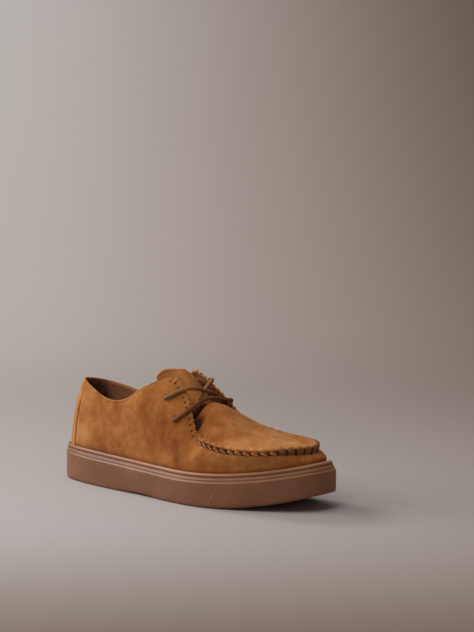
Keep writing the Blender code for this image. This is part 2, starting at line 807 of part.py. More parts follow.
def build_lace(parts, cutters):
    """The bar and the two upper runs, joined where they cross."""
    lace = None
    for name, run in LACE_RUNS.items():
        points, faces = tube(lace_path(run), LACE_RADIUS, LACE_SAMPLES)
        if lace is None:
            lace = new_object("lace", mesh_from(points, faces, "lace"), parts)
            continue
        other = new_object(name, mesh_from(points, faces, name), cutters)
        other.hide_render = True
        other.display_type = "WIRE"
        modifier = lace.modifiers.new(name, "BOOLEAN")
        modifier.operation = "UNION"
        modifier.solver = "EXACT"
        modifier.object = other
    return lace


def main():
    for obj in list(bpy.data.objects):
        bpy.data.objects.remove(obj, do_unlink=True)
    parts = bpy.data.collections.new("suede_sneaker")
    cutters = bpy.data.collections.new("cutters")
    for collection in (parts, cutters):
        bpy.context.scene.collection.children.link(collection)
    columns = column_parameters()
    suede = material("suede", (0.33, 0.125, 0.036), 0.9)
    gum = material("gum_rubber", (0.20, 0.085, 0.045), 0.5)
    cord = material("waxed_lace", (0.09, 0.04, 0.018), 0.6)
    lining = material("footbed_leather", (0.13, 0.055, 0.025), 0.7)
    build_outsole(columns, parts, cutters).data.materials.append(gum)
    build_insole(columns, parts).data.materials.append(lining)
    build_upper(columns, parts, cutters).data.materials.append(suede)
    build_heel_strip(columns, parts).data.materials.append(suede)
    build_tongue(parts).data.materials.append(suede)
    build_lace(parts, cutters).data.materials.append(cord)


main()
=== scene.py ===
"""Suede moccasin-toe sneaker, right shoe: the visible pieces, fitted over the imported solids.

Frame, in metres: +X towards the toe, +Y towards the inner (medial) side, +Z up.
Round the shoe, u runs from 0 at the heel along the lateral side to 1 at the toe, and back
along the medial side to 2. Up the shoe, v is -1 inside the cup, 0 at the lip of the sole, 1 at
the top edge (collar, eyestay or moccasin seam) and 2 at the middle line of the apron.
"""

import math
from collections import namedtuple

import bmesh
import bpy
import numpy as np
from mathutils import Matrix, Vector, noise


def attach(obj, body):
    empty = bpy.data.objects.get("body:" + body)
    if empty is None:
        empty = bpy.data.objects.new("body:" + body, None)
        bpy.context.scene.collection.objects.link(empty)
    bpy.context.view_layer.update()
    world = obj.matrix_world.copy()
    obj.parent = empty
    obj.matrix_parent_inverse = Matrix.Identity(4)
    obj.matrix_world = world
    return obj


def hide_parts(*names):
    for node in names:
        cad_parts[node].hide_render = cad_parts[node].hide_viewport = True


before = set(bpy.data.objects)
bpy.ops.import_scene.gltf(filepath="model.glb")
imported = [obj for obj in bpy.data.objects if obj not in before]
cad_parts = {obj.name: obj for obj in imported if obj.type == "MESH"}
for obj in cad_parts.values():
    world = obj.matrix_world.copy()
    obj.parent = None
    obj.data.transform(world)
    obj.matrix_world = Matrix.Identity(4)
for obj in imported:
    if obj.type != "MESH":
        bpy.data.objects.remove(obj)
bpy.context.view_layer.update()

MM = 0.001

# Driving dimensions
LENGTH = 302 * MM
BALL_WIDTH = 106 * MM
INSTEP_HEIGHT = 109 * MM
HEEL_HEIGHT = 97 * MM
TOE_SPRING = 15 * MM

# Fits and walls
GAP = 0.3 * MM
UPPER_WALL = 2.6 * MM
TONGUE_WALL = 2.2 * MM
CUP_FLOOR_HEEL = 13 * MM
CUP_FLOOR_BALL = 10 * MM

# Sole
PLAN_POWER = 0.735
BALL_BREAK = 0.68
ARCH_LIFT = 1.2 * MM
ARCH_FROM = 0.28
ARCH_TO = 0.54
UPPER_INSET = 6.5 * MM
HEEL_INSET = 4.0 * MM
HEEL_INSET_FROM = 0.10
HEEL_INSET_TO = 0.32
TOE_INSET = 9.0 * MM
TOE_INSET_FROM = 0.78

# Upper
THROAT_BASE = 0.616
HANDLE = 0.40
APRON_SIDE_IN = 0.34
APRON_SIDE_UP = 0.36
APRON_TOP_OUT = 0.36
SPINE_FRONT = 0.897
STRIP_EDGE = 0.168
STRIP_RECESS = 1.7 * MM
STRIP_SINK = 0.4 * MM
SEAM_FADE_FROM = 0.35
SEAM_FADE_LENGTH = 0.05
SEAM_TOE_GAIN = 0.45
SEAM_TOE_FROM = 0.72

# Plan of the outsole: station along LENGTH, sideways swing and half width over BALL_WIDTH
Plan = namedtuple("Plan", "station swing half_width")
SOLE_PLAN = (
    Plan(0.00, -0.002, 0.360),
    Plan(0.10, -0.002, 0.364),
    Plan(0.20, -0.003, 0.369),
    Plan(0.35, -0.014, 0.370),
    Plan(0.50, -0.017, 0.413),
    Plan(0.66, 0.005, 0.498),
    Plan(0.80, 0.052, 0.501),
    Plan(0.92, 0.096, 0.471),
    Plan(1.00, 0.112, 0.450),
)

# Height of the sole's lip above the floor
Lip = namedtuple("Lip", "station height")
LIP_LINE = (
    Lip(0.00, 33.6 * MM),
    Lip(0.30, 31.7 * MM),
    Lip(0.66, 29.9 * MM),
    Lip(0.85, 34.4 * MM),
    Lip(1.00, 43.0 * MM),
)

# Side of the cup, from the tread up and over the lip. Inset is from the outermost outline.
# Height is above the bottom edge, or below the lip where it is negative. The insets of groove
# and lip shrink with the upper's inset round the heel.
Ring = namedtuple("Ring", "name inset height")
CUP_RINGS = (
    Ring("tread edge", 2.4 * MM, 0.0),
    Ring("bevel", 0.8 * MM, 0.7 * MM),
    Ring("wall foot", 0.1 * MM, 2.4 * MM),
    Ring("wall top", 0.0, -8.6 * MM),
    Ring("shoulder", 0.3 * MM, -7.7 * MM),
    Ring("ledge", 1.1 * MM, -7.2 * MM),
    Ring("band", 1.2 * MM, -5.4 * MM),
    Ring("rib", 1.8 * MM, -4.9 * MM),
    Ring("groove edge", 2.0 * MM, -3.8 * MM),
    Ring("groove", 3.0 * MM, -3.3 * MM),
    Ring("lip foot", 2.4 * MM, -2.8 * MM),
    Ring("lip side", 2.6 * MM, -1.2 * MM),
    Ring("lip crest", 4.0 * MM, -0.05 * MM),
    Ring("lip inside", 5.7 * MM, -0.9 * MM),
    Ring("cup wall", UPPER_INSET - GAP, -3.0 * MM),
)

# Top edge of the upper, a row for each section from heel to toe. Base is the station of the
# section's foot on the sole and x, medial_x the stations of its top, over LENGTH. Lateral and
# medial are half widths over BALL_WIDTH. The heights are over INSTEP_HEIGHT. Foot lean is
# outwards and edge lean inwards, in degrees from upright.
Section = namedtuple(
    "Section", "name base x medial_x lateral medial height medial_height foot_lean edge_lean"
)
HEEL = HEEL_HEIGHT / INSTEP_HEIGHT
TOP_EDGE = (
    Section("heel", 0.000, 0.066, 0.066, 0.000, 0.000, HEEL, HEEL, -8, 20),
    Section("quarter", 0.146, 0.172, 0.170, 0.226, 0.231, 0.826, 0.811, 3, 12),
    Section("ankle dip", 0.265, 0.275, 0.273, 0.288, 0.288, 0.761, 0.761, 5, 8),
    Section("collar rise", 0.351, 0.351, 0.349, 0.302, 0.302, 0.812, 0.814, 4, 18),
    Section("collar front", 0.411, 0.404, 0.396, 0.272, 0.276, 0.908, 0.914, 3, 32),
    Section("eyestay top", 0.467, 0.494, 0.466, 0.184, 0.198, 1.000, 1.014, 2, 44),
    Section("eyestay 1", 0.497, 0.519, 0.497, 0.176, 0.196, 0.966, 0.980, 2, 47),
    Section("eyestay 2", 0.530, 0.546, 0.539, 0.193, 0.217, 0.886, 0.890, 3, 49),
    Section("eyestay 3", 0.570, 0.578, 0.575, 0.231, 0.262, 0.765, 0.785, 4, 51),
    Section("throat", THROAT_BASE, 0.621, 0.621, 0.292, 0.325, 0.560, 0.626, 5, 52),
    Section("seam 1", 0.662, 0.657, 0.657, 0.335, 0.368, 0.508, 0.556, 8, 52),
    Section("seam 2", 0.712, 0.702, 0.702, 0.361, 0.404, 0.486, 0.520, 9, 55),
    Section("seam 3", 0.775, 0.762, 0.762, 0.363, 0.420, 0.472, 0.494, 10, 58),
    Section("seam 4", 0.868, 0.848, 0.842, 0.307, 0.386, 0.472, 0.480, 8, 58),
    Section("seam 5", 0.944, 0.908, 0.893, 0.172, 0.285, 0.478, 0.480, 5, 56),
    Section("toe", 1.000, 0.944, 0.944, -0.085, 0.085, 0.474, 0.474, 2, 54),
)

# Middle line of the apron and, behind the throat, of the tongue: station and height
Spine = namedtuple("Spine", "x height")
SPINE = (
    Spine(0.470, 1.046),
    Spine(0.497, 0.966),
    Spine(0.523, 0.880),
    Spine(0.546, 0.818),
    Spine(0.573, 0.788),
    Spine(0.599, 0.784),
    Spine(0.626, 0.768),
    Spine(0.662, 0.716),
    Spine(0.712, 0.636),
    Spine(0.762, 0.577),
    Spine(0.828, 0.535),
    Spine(0.894, 0.524),
    Spine(0.960, 0.522),
)

# Tongue sections from the throat up: stations of the middle and of the two side edges, half
# widths over BALL_WIDTH and heights of the side edges over INSTEP_HEIGHT
TongueRow = namedtuple(
    "TongueRow", "spine side medial_side lateral medial height medial_height"
)
TONGUE_ROWS = (
    TongueRow(0.620, 0.620, 0.620, 0.258, 0.290, 0.583, 0.641),
    TongueRow(0.595, 0.590, 0.590, 0.256, 0.282, 0.612, 0.656),
    TongueRow(0.560, 0.545, 0.548, 0.240, 0.250, 0.690, 0.715),
    TongueRow(0.520, 0.486, 0.510, 0.215, 0.215, 0.805, 0.840),
    TongueRow(0.490, 0.434, 0.480, 0.200, 0.192, 0.940, 0.920),
    TongueRow(0.470, 0.434, 0.457, 0.188, 0.180, 1.056, 0.980),
)

# Lace holes: station of the section's foot and height up the wall
Eyelet = namedtuple("Eyelet", "name base up")
EYELETS = (Eyelet("upper", 0.476, 0.755), Eyelet("lower", 0.540, 0.645))

# Runs of the lace. A point on the shoe names a side, the station of the section's foot and the
# height up the wall. A free point holds x over LENGTH, y over BALL_WIDTH and z over INSTEP_HEIGHT.
OnShoe = namedtuple("OnShoe", "side base up")
Free = namedtuple("Free", "x y z")
LACE_RUNS = {
    "bar": (
        OnShoe("lateral", 0.547, 0.64),
        OnShoe("lateral", 0.5575, 0.72),
        OnShoe("lateral", 0.566, 0.83),
        OnShoe("lateral", 0.570, 0.93),
        OnShoe("lateral", 0.572, 1.0),
        Free(0.584, -0.094, 0.813),
        Free(0.587, 0.019, 0.823),
        Free(0.586, 0.132, 0.801),
        OnShoe("medial", 0.576, 1.0),
        OnShoe("medial", 0.563, 0.84),
        OnShoe("medial", 0.547, 0.64),
    ),
    "over run": (
        OnShoe("lateral", 0.482, 0.742),
        OnShoe("lateral", 0.4925, 0.78),
        OnShoe("lateral", 0.5025, 0.827),
        OnShoe("lateral", 0.5125, 0.90),
        OnShoe("lateral", 0.527, 1.0),
        Free(0.551, 0.005, 0.881),
        Free(0.556, 0.085, 0.860),
        Free(0.555, 0.160, 0.834),
    ),
    "crossing run": (
        OnShoe("medial", 0.476, 0.755),
        OnShoe("medial", 0.496, 0.88),
        OnShoe("medial", 0.517, 1.0),
        Free(0.531, 0.142, 0.905),
        Free(0.549, 0.013, 0.850),
        Free(0.580, -0.166, 0.800),
    ),
}

# Tread grooves under heel and forefoot: station and length across
Groove = namedtuple("Groove", "station length")
GROOVES = (
    Groove(0.10, 40 * MM),
    Groove(0.16, 46 * MM),
    Groove(0.22, 46 * MM),
    Groove(0.52, 56 * MM),
    Groove(0.575, 66 * MM),
    Groove(0.63, 72 * MM),
    Groove(0.685, 76 * MM),
)
GROOVE_WIDTH = 3 * MM
GROOVE_DEPTH = 1.5 * MM


# Curves


def spline(knots, values):
    """Natural cubic spline through the knots, as a function of an array."""
    knots = np.asarray(knots, float)
    values = np.asarray(values, float)
    steps = np.diff(knots)
    slopes = np.diff(values) / steps
    count = len(knots)
    matrix = np.eye(count)
    right = np.zeros(count)
    for i in range(1, count - 1):
        matrix[i, i - 1 : i + 2] = (steps[i - 1], 2 * (steps[i - 1] + steps[i]), steps[i])
        right[i] = 6 * (slopes[i] - slopes[i - 1])
    bend = np.linalg.solve(matrix, right)

    def at(x):
        x = np.asarray(x, float)
        i = np.clip(np.searchsorted(knots, x) - 1, 0, count - 2)
        t = x - knots[i]
        h = steps[i]
        first = slopes[i] - h * (2 * bend[i] + bend[i + 1]) / 6
        return values[i] + t * (first + t * (bend[i] / 2 + t * (bend[i + 1] - bend[i]) / (6 * h)))

    return at


def closed_spline(knots, values, period):
    """Spline that repeats after the period."""
    knots = np.asarray(knots, float)
    tiled = np.concatenate([knots - period, knots, knots + period])
    curve = spline(tiled, np.tile(values, 3))
    return lambda x: curve(np.mod(x, period))


def bezier(p0, p1, p2, p3, t):
    """Cubic curve, with t as an array that matches the points' rows."""
    t = np.asarray(t)[..., None]
    s = 1 - t
    return s**3 * p0 + 3 * s**2 * t * p1 + 3 * s * t**2 * p2 + t**3 * p3


def unit(vectors):
    return vectors / np.maximum(np.linalg.norm(vectors, axis=-1, keepdims=True), 1e-12)


def bell(value, width):
    """1 at 0, falling off to both sides over the width."""
    return np.exp(-((value / width) ** 2))


def side_u(u):
    """Place along either side, from 0 at the heel to 1 at the toe."""
    return 1 - np.abs(1 - u)


SIDES = ("lateral", "medial")


def on_side(u, side):
    return u if side == "lateral" else 2 - u


def station_of(u):
    return (1 - np.cos(math.pi * np.asarray(u, float))) / 2


def u_of(station):
    return math.acos(1 - 2 * station) / math.pi


# Sole lines

swing_at = spline([p.station for p in SOLE_PLAN], [p.swing for p in SOLE_PLAN])
half_width_at = spline([p.station for p in SOLE_PLAN], [p.half_width for p in SOLE_PLAN])
lip_at = spline([p.station for p in LIP_LINE], [p.height for p in LIP_LINE])


def plan(u):
    """Outermost outline of the sole, as x and y with the heel at x = 0."""
    station = station_of(u)
    sine = np.sin(math.pi * np.asarray(u, float))
    reach = np.sign(sine) * np.abs(sine) ** PLAN_POWER
    y = BALL_WIDTH * (swing_at(station) - half_width_at(station) * reach)
    return np.stack([LENGTH * station, y], axis=-1)


def plan_middle():
    """Middle of the outline's width."""
    across = plan(np.linspace(0, 2, 2001))[:, 1]
    return (across.min() + across.max()) / 2


def plan_normal(u):
    """Outward direction of the outline."""
    along = plan(np.asarray(u) + 1e-4) - plan(np.asarray(u) - 1e-4)
    return unit(np.stack([along[..., 1], -along[..., 0]], axis=-1))


def inset_plan(u, inset):
    return plan(u) - np.asarray(inset)[..., None] * plan_normal(u)


def smooth_step(value, start, end):
    share = np.clip((np.asarray(value, float) - start) / (end - start), 0, 1)
    return share * share * (3 - 2 * share)


def upper_inset(u):
    """How far inside the outline the upper stands: close to the edge at the heel, less so at the toe."""
    side = np.abs(1 - np.mod(1 + np.asarray(u, float), 2))
    at_side = smooth_step(side, HEEL_INSET_FROM, HEEL_INSET_TO)
    at_toe = smooth_step(side, TOE_INSET_FROM, 1.0)
    return HEEL_INSET + (UPPER_INSET - HEEL_INSET) * at_side + (TOE_INSET - UPPER_INSET) * at_toe


def bottom_at(station):
    """Underside: flat at heel and ball, a low arch between them and the toe spring."""
    station = np.asarray(station, float)
    toe = np.clip((station - BALL_BREAK) / (1 - BALL_BREAK), 0, 1)
    waist = np.clip((station - ARCH_FROM) / (ARCH_TO - ARCH_FROM), 0, 1)
    return TOE_SPRING * toe**2 + ARCH_LIFT * np.sin(math.pi * waist) ** 2


def floor_at(station):
    """Inside floor of the cup."""
    ease = smooth_step(station, 0.15, 0.65)
    toe = np.clip((station - BALL_BREAK) / (1 - BALL_BREAK), 0, 1)
    return CUP_FLOOR_HEEL + (CUP_FLOOR_BALL - CUP_FLOOR_HEEL) * ease + TOE_SPRING * toe**2


# Surface of the upper

PLAN_MIDDLE = plan_middle()
LAST_U = [u_of(row.base) for row in TOP_EDGE]
EDGE_U = LAST_U + [2 - u for u in LAST_U[-2:0:-1]]


def round_the_shoe(lateral, medial):
    """Closed curve over u from a lateral and a medial value for each section."""
    return closed_spline(EDGE_U, list(lateral) + list(medial)[-2:0:-1], 2.0)


edge_x = round_the_shoe([r.x * LENGTH for r in TOP_EDGE], [r.medial_x * LENGTH for r in TOP_EDGE])
edge_y = round_the_shoe(
    [-r.lateral * BALL_WIDTH for r in TOP_EDGE], [r.medial * BALL_WIDTH for r in TOP_EDGE]
)
edge_z = round_the_shoe(
    [r.height * INSTEP_HEIGHT for r in TOP_EDGE], [r.medial_height * INSTEP_HEIGHT for r in TOP_EDGE]
)
foot_lean = round_the_shoe([r.foot_lean for r in TOP_EDGE], [r.foot_lean for r in TOP_EDGE])
edge_lean = round_the_shoe([r.edge_lean for r in TOP_EDGE], [r.edge_lean for r in TOP_EDGE])
spine_z = spline([p.x for p in SPINE], [p.height * INSTEP_HEIGHT for p in SPINE])

THROAT_U = u_of(THROAT_BASE)


def top_edge(u):
    return np.stack([edge_x(u), edge_y(u), edge_z(u)], axis=-1)


def foot(u):
    """Where the upper leaves the cup, at the lip."""
    flat = inset_plan(u, upper_inset(u))
    return np.concatenate([flat, lip_at(station_of(u))[..., None]], axis=-1)


def lean_direction(u, degrees):
    """Unit vector that leans outwards from upright by an angle."""
    angle = np.radians(degrees)[..., None]
    flat = plan_normal(u) * np.sin(angle)
    return np.concatenate([flat, np.cos(angle)], axis=-1)


def wall(u, v):
    """Side of the upper between the lip, v = 0, and the top edge, v = 1."""
    low, high = foot(u), top_edge(u)
    reach = HANDLE * np.linalg.norm(high - low, axis=-1, keepdims=True)
    low_handle = low + reach * lean_direction(u, foot_lean(u))
    high_handle = high - reach * lean_direction(u, -edge_lean(u))
    return bezier(low, low_handle, high_handle, high, v)


def spine(u):
    """Middle line of the apron, for the section with its foot at u."""
    u = np.asarray(u, float)
    side = side_u(u)
    share = np.clip((side - THROAT_U) / (1 - THROAT_U), 0, 1)
    throat_x = edge_x(THROAT_U) / LENGTH
    x = throat_x + (SPINE_FRONT - throat_x) * share
    y = (edge_y(side) + edge_y(2 - side)) / 2
    return np.stack([x * LENGTH, y, spine_z(x)], axis=-1)


def apron(u, t):
    """Top of the toe, from the seam, t = 0, to the middle line, t = 1."""
    low, high = top_edge(u), spine(u)
    across = low - high
    across[..., 2] = 0
    rise = (high - low)[..., 2:3]
    width = np.linalg.norm(across, axis=-1, keepdims=True)
    outward = across / np.maximum(width, 1e-9)
    up = np.array([0.0, 0.0, 1.0])
    low_handle = low - outward * width * APRON_SIDE_IN + up * rise * APRON_SIDE_UP
    high_handle = high + outward * width * APRON_TOP_OUT
    return bezier(low, low_handle, high_handle, high, t)


def surface(u, v):
    """Smooth outer surface of the upper, before the seam and the heel recess are added."""
    u, v = np.broadcast_arrays(np.asarray(u, float), np.asarray(v, float))
    side = wall(u, np.clip(v, 0, 1))
    station = station_of(u)
    drop = lip_at(station) - floor_at(station) - GAP
    side[..., 2] += np.clip(v, -1, 0) * drop
    return np.where((v > 1)[..., None], apron(u, np.clip(v - 1, 0, 1)), side)


def is_seam(u):
    return np.abs(1 - np.asarray(u)) <= 1 - THROAT_U + 1e-6


def normals(u, v):
    """Outward normals of the smooth surface."""
    u, v = np.broadcast_arrays(np.asarray(u, float), np.asarray(v, float))
    step = 2e-3
    high = np.where(is_seam(u), 2.0, 1.0)
    along = surface(u + step, v) - surface(u - step, v)
    up = surface(u, np.minimum(v + step, high)) - surface(u, np.maximum(v - step, -1.0))
    return unit(np.cross(along, up))


# Fine shape of the scene's pieces: thickness of the upper's skin, depths of the lining's faces, pitch of
# the seam's gathers, and pitch of the eyestay's stitches with the distance of their holes from the edge
SKIN = 1.9 * MM
LINING_OUT = 2.0 * MM
LINING_IN = 2.6 * MM
STITCH_PITCH = 7.6 * MM
HOLE_PITCH = 5.6 * MM
HOLE_REACH = -5.0 * MM

# Heel strip's seam: width of the open groove and of the rolled edges, in u, and the roll's depth
STRIP_GROOVE = 0.0065
STRIP_ROLL = 0.008
STRIP_DROP = 0.9 * MM

# Gathered seam: share of its height on the apron's side by distance from the crest in millimetres,
# then its height, the place of its face, and the slant, depth and size of the pits between gathers
RIDGE_TOP = (
    (0.0, 1.0), (0.6, 0.97), (1.4, 0.84), (2.2, 0.66), (3.2, 0.42), (4.6, 0.18), (6.4, 0.04), (8.0, 0.0),
)
RIDGE_HEIGHT = 4.4 * MM
GATHER_FACE = -2.7 * MM
GATHER_SLANT = 0.9
TOE_SLANT = 0.2
PIT_DEPTH = 1.9 * MM
PIT_HALF = 2.3 * MM
PIT_MIDDLE = -2.0 * MM
PIT_HEIGHT = 1.4 * MM
TOE_PIT_HALF = 2.0 * MM

# Rows of the upper's skin: distances across the top edge in millimetres
WALL_REACH = (
    -12.0, -10.4, -9.0, -7.8, -6.8, -6.0, -5.3, -4.7, -4.2, -3.8, -3.5, -3.25, -3.0, -2.75, -2.5, -2.25,
    -2.0, -1.75, -1.5, -1.25, -1.0, -0.75, -0.5, -0.25, 0.0,
)
APRON_REACH = (0.4, 0.8, 1.2, 1.6, 2.0, 2.5, 3.0, 3.6, 4.3, 5.2, 6.4, 8.0)

# Soft troughs of the worn leather. Each follows points given by the station of the section's
# foot and the height up the wall; width and depth are in millimetres, negative depth swells.
Crease = namedtuple("Crease", "name width depth points")
CREASES = (
    Crease("pull of the lower lace", 5.0, 0.7, ((0.547, 0.60), (0.575, 0.44), (0.600, 0.30))),
    Crease("pull of the upper lace", 6.0, 0.6, ((0.470, 0.70), (0.450, 0.52), (0.440, 0.38))),
    Crease("behind the throat", 6.0, 0.5, ((0.598, 0.80), (0.570, 0.62), (0.545, 0.50))),
    Crease("ankle", 9.0, 0.7, ((0.270, 0.84), (0.330, 0.62), (0.400, 0.52))),
    Crease("heel side", 9.0, 0.5, ((0.120, 0.52), (0.190, 0.46), (0.260, 0.48))),
    Crease("flex one", 5.0, 0.5, ((0.664, 0.74), (0.680, 0.46), (0.690, 0.20))),
    Crease("flex two", 5.0, 0.4, ((0.718, 0.74), (0.735, 0.48), (0.745, 0.24))),
    Crease("ball swell", 14.0, -0.8, ((0.640, 0.34), (0.700, 0.36), (0.780, 0.40))),
    Crease("quarter swell", 16.0, -0.7, ((0.200, 0.30), (0.300, 0.32), (0.400, 0.34))),
)

# Height of the bare suede facing inside the eyestays, above the lining, and radius of the lace holes
FACING = 8.0 * MM
LACE_HOLE_RADIUS = 2.7 * MM

# Height of a lace over an eyestay's edge, and its shift in a hole toward the run
EDGE_LIFT = 2.1 * MM
HOLE_SHIFT = 0.6 * MM

# Tongue: roundness of its top corners, and where and how far the apron steps down to it
TONGUE_CORNER = 0.12
APRON_END = 0.245
APRON_STEP = 2.6 * MM

# Lace: the hole that each run comes out of, its height over the flap, and where hidden ends are tucked
LACE_HOLES = {"bar": "lower", "over run": "upper", "crossing run": "upper"}
LACE_LIFT = 1.9 * MM
TUCKED_ENDS = {"over run": Free(0.557, 0.235, 0.790), "crossing run": Free(0.574, -0.185, 0.715)}

# Paler and darker places of the suede, partly brushed and pressed nap and partly painted light, such as
# the paler places on the lateral vamp toward the toe: station, side (-1 lateral or 1 medial), height and
# size in millimetres, and how much paler they are
NAP_AND_LIGHT_PATCHES = (
    (0.250, -1, 66, 13, 0.20), (0.300, -1, 52, 12, 0.22), (0.110, -1, 44, 13, 0.58),
    (0.190, -1, 60, 9, 0.14), (0.330, -1, 72, 9, 0.16), (0.400, -1, 45, 10, 0.10),
    (0.500, -1, 70, 16, -0.18), (0.560, -1, 48, 18, -0.20), (0.660, -1, 44, 16, -0.12),
    (0.440, -1, 82, 10, 0.06), (0.090, -1, 80, 10, 0.12), (0.170, -1, 72, 9, -0.10),
    (0.790, -1, 40, 18, 0.26), (0.860, -1, 42, 16, 0.24), (0.920, -1, 44, 12, 0.22),
    (0.250, 1, 62, 14, 0.16), (0.330, 1, 50, 12, 0.16), (0.560, 1, 50, 18, -0.14), (0.160, 1, 60, 12, 0.14),
)

# Painted highlights on the upward-facing lines of the cup's side and painted shade in its groove and band,
# by the name of the ring
RING_LIGHT_AND_SHADE = {
    "wall top": 0.05, "shoulder": 0.45, "ledge": 0.15, "band": -0.10, "rib": 0.50, "groove edge": 0.1,
    "groove": -0.50, "lip foot": 0.0, "lip side": 0.50, "lip crest": 0.75, "lip inside": 0.45,
}

# Camera: place in metres, heading and downward tilt in degrees, lens in millimetres
CAMERA_PLACE = (1.0466, -1.1846, 0.2977)
CAMERA_HEADING = 39.90
CAMERA_DOWN = 4.88
CAMERA_LENS = 98.9

# Painted light and shade on the backdrop's paper: logarithms of red, green and blue at the shoe, and how
# they change with the metres to the right, behind and up, right times up, right squared, front squared and
# the soft dip behind
PAPER_PAINTED_LIGHT = (
    (-0.85, -0.29, 0.02, 0.25, -0.79, -0.73, -4.6, -0.22),
    (-0.92, -0.45, -0.01, 0.29, -0.81, -0.74, -5.9, -0.24),
    (-0.94, -0.53, -0.04, 0.35, -0.92, -0.87, -7.0, -0.25),
)


def row_frame(points):
    return np.asarray(points, float) - np.array([LENGTH / 2, PLAN_MIDDLE, 0])


def lengths(path):
    return np.concatenate([[0], np.cumsum(np.linalg.norm(np.diff(path, axis=0), axis=1))])


SEAM_U = np.linspace(THROAT_U, 2 - THROAT_U, 1600)
SEAM_S = lengths(top_edge(SEAM_U))
STITCHES = int(round(SEAM_S[-1] / STITCH_PITCH))
PITCH = SEAM_S[-1] / STITCHES


def seam_u(s):
    return np.interp(s, SEAM_S, SEAM_U)


def seam_phase(u):
    """Stitches counted from the lateral throat; whole numbers fall between two stitches."""
    return np.interp(u, SEAM_U, SEAM_S) / PITCH


def side_length(u):
    return np.linalg.norm(top_edge(u) - foot(u), axis=-1)


def apron_width(u):
    return np.linalg.norm(spine(u) - top_edge(u), axis=-1)


def v_across(u, across):
    """Height v of a place at a distance across the top edge."""
    u, across = np.broadcast_arrays(np.asarray(u, float), np.asarray(across, float))
    return 1 + np.where(across > 0, across / apron_width(u), across / side_length(u))


def across_of(u, v):
    return np.where(v > 1, (v - 1) * apron_width(u), (v - 1) * side_length(u))


def seam_strength(u):
    """Share of the seam's height: little at the throat, more than 1 at the toe, 0 behind the throat."""
    side = side_u(u)
    share = np.clip((side - THROAT_U) / SEAM_FADE_LENGTH, 0, 1)
    toe = 1 + SEAM_TOE_GAIN * smooth_step(side, SEAM_TOE_FROM, 0.95)
    return np.where(side < THROAT_U - 1e-6, 0.0, SEAM_FADE_FROM + (1 - SEAM_FADE_FROM) * share) * toe


def toe_share(u):
    """1 at the toe, 0 along the sides."""
    return smooth_step(side_u(u), 0.70, 0.92)


def pit_share(u, across):
    """1 in the middle of a pit between two gathers, 0 on the gathers; short pits at the sides."""
    phase = seam_phase(u) + gather_slant(u) * (across - PIT_MIDDLE) / PITCH
    gap = np.abs(phase - np.round(phase)) * PITCH
    toe = toe_share(u)
    half = PIT_HALF + (TOE_PIT_HALF - PIT_HALF) * toe
    tall = toe + (1 - toe) * bell(across - PIT_MIDDLE, PIT_HEIGHT)
    return tall * (1 - np.sqrt(np.clip(1 - (1 - np.minimum(gap / half, 1)) ** 2, 0, 1)))


def gather_slant(u):
    """How far a pit moves along the seam for each millimetre across it."""
    return GATHER_SLANT + (TOE_SLANT - GATHER_SLANT) * toe_share(u)


def ridge(u, across):
    """Rise of the gathered seam: rounded gathers with a pit at each stitch."""
    strength = seam_strength(u)
    face = GATHER_FACE + PIT_DEPTH * pit_share(u, across)
    climb = np.interp(across - face, (-0.5 * MM, 0.25 * MM, 1.6 * MM), (0, 0.74, 1.0))
    steps = np.array(RIDGE_TOP)
    top = np.interp(across, steps[:, 0] * MM, steps[:, 1])
    beat = np.cos(2 * math.pi * (seam_phase(u) + gather_slant(u) * (across - PIT_MIDDLE) / PITCH))
    rise = RIDGE_HEIGHT * np.minimum(climb, top) * strength * (1 - 0.08 * (1 + beat))
    pleats = bell(across + 6.0 * MM, 3.0 * MM)
    lumps = bell(across - 3.0 * MM, 2.2 * MM)
    return rise - beat * strength * MM * ((0.14 + 0.24 * toe_share(u)) * pleats + 0.50 * lumps)


def crease_depth(points):
    """How far the troughs let the surface in."""
    depth = np.zeros(len(points))
    for crease in CREASES:
        for side in SIDES:
            base = np.array([p[0] for p in crease.points])
            up = np.array([p[1] for p in crease.points])
            fine = np.linspace(0, len(base) - 1, 40)
            stations = spline(np.arange(len(base)), base)(fine)
            heights = spline(np.arange(len(base)), up)(fine)
            u = np.arccos(1 - 2 * stations) / math.pi
            path = surface(on_side(u, side), heights)
            gap = np.linalg.norm(points[:, None, :] - path[None], axis=-1)
            near = gap.argmin(axis=1)
            share = near / 39
            taper = np.sin(math.pi * (0.12 + 0.76 * share))
            depth += crease.depth * MM * taper * bell(gap.min(axis=1), crease.width * MM)
    return depth


def waviness(points, size, amount):
    """Slow unevenness of a hand-lasted upper."""
    return np.array([noise.noise(Vector(p) / size) for p in points]) * amount


def upper_relief(u, v, points):
    """Distance of the skin's face from the smooth surface."""
    across = across_of(u, v)
    out = np.where(is_seam(u), ridge(u, across), 0.0)
    out -= crease_depth(points)
    out += waviness(points, 22 * MM, 0.45 * MM) + waviness(points, 7 * MM, 0.12 * MM)
    open_edge = ~is_seam(u)
    border = np.where(open_edge & (v > 0), bell(across + 2.6 * MM, 0.7 * MM), 0)
    collar = smooth_step(side_u(u), THROAT_U - 0.02, THROAT_U - 0.14)
    out -= 0.35 * MM * border * collar
    edge = np.clip(1 + across / (0.9 * MM), 0, 1)
    out -= np.where(open_edge & (v > 0), 0.5 * MM * edge**2, 0)
    tuck = np.clip(1 - v * side_length(u) / (3.0 * MM), 0, 1.3)
    out -= 0.5 * MM * tuck**2
    from_heel = np.minimum(u, 2 - u)
    roll = np.clip((STRIP_EDGE + STRIP_ROLL - from_heel) / STRIP_ROLL, 0, 1)
    out -= STRIP_DROP * roll**2 * (v > -0.5)
    return out - np.where(from_heel < STRIP_EDGE, STRIP_RECESS - STRIP_DROP, 0.0)


# Meshes


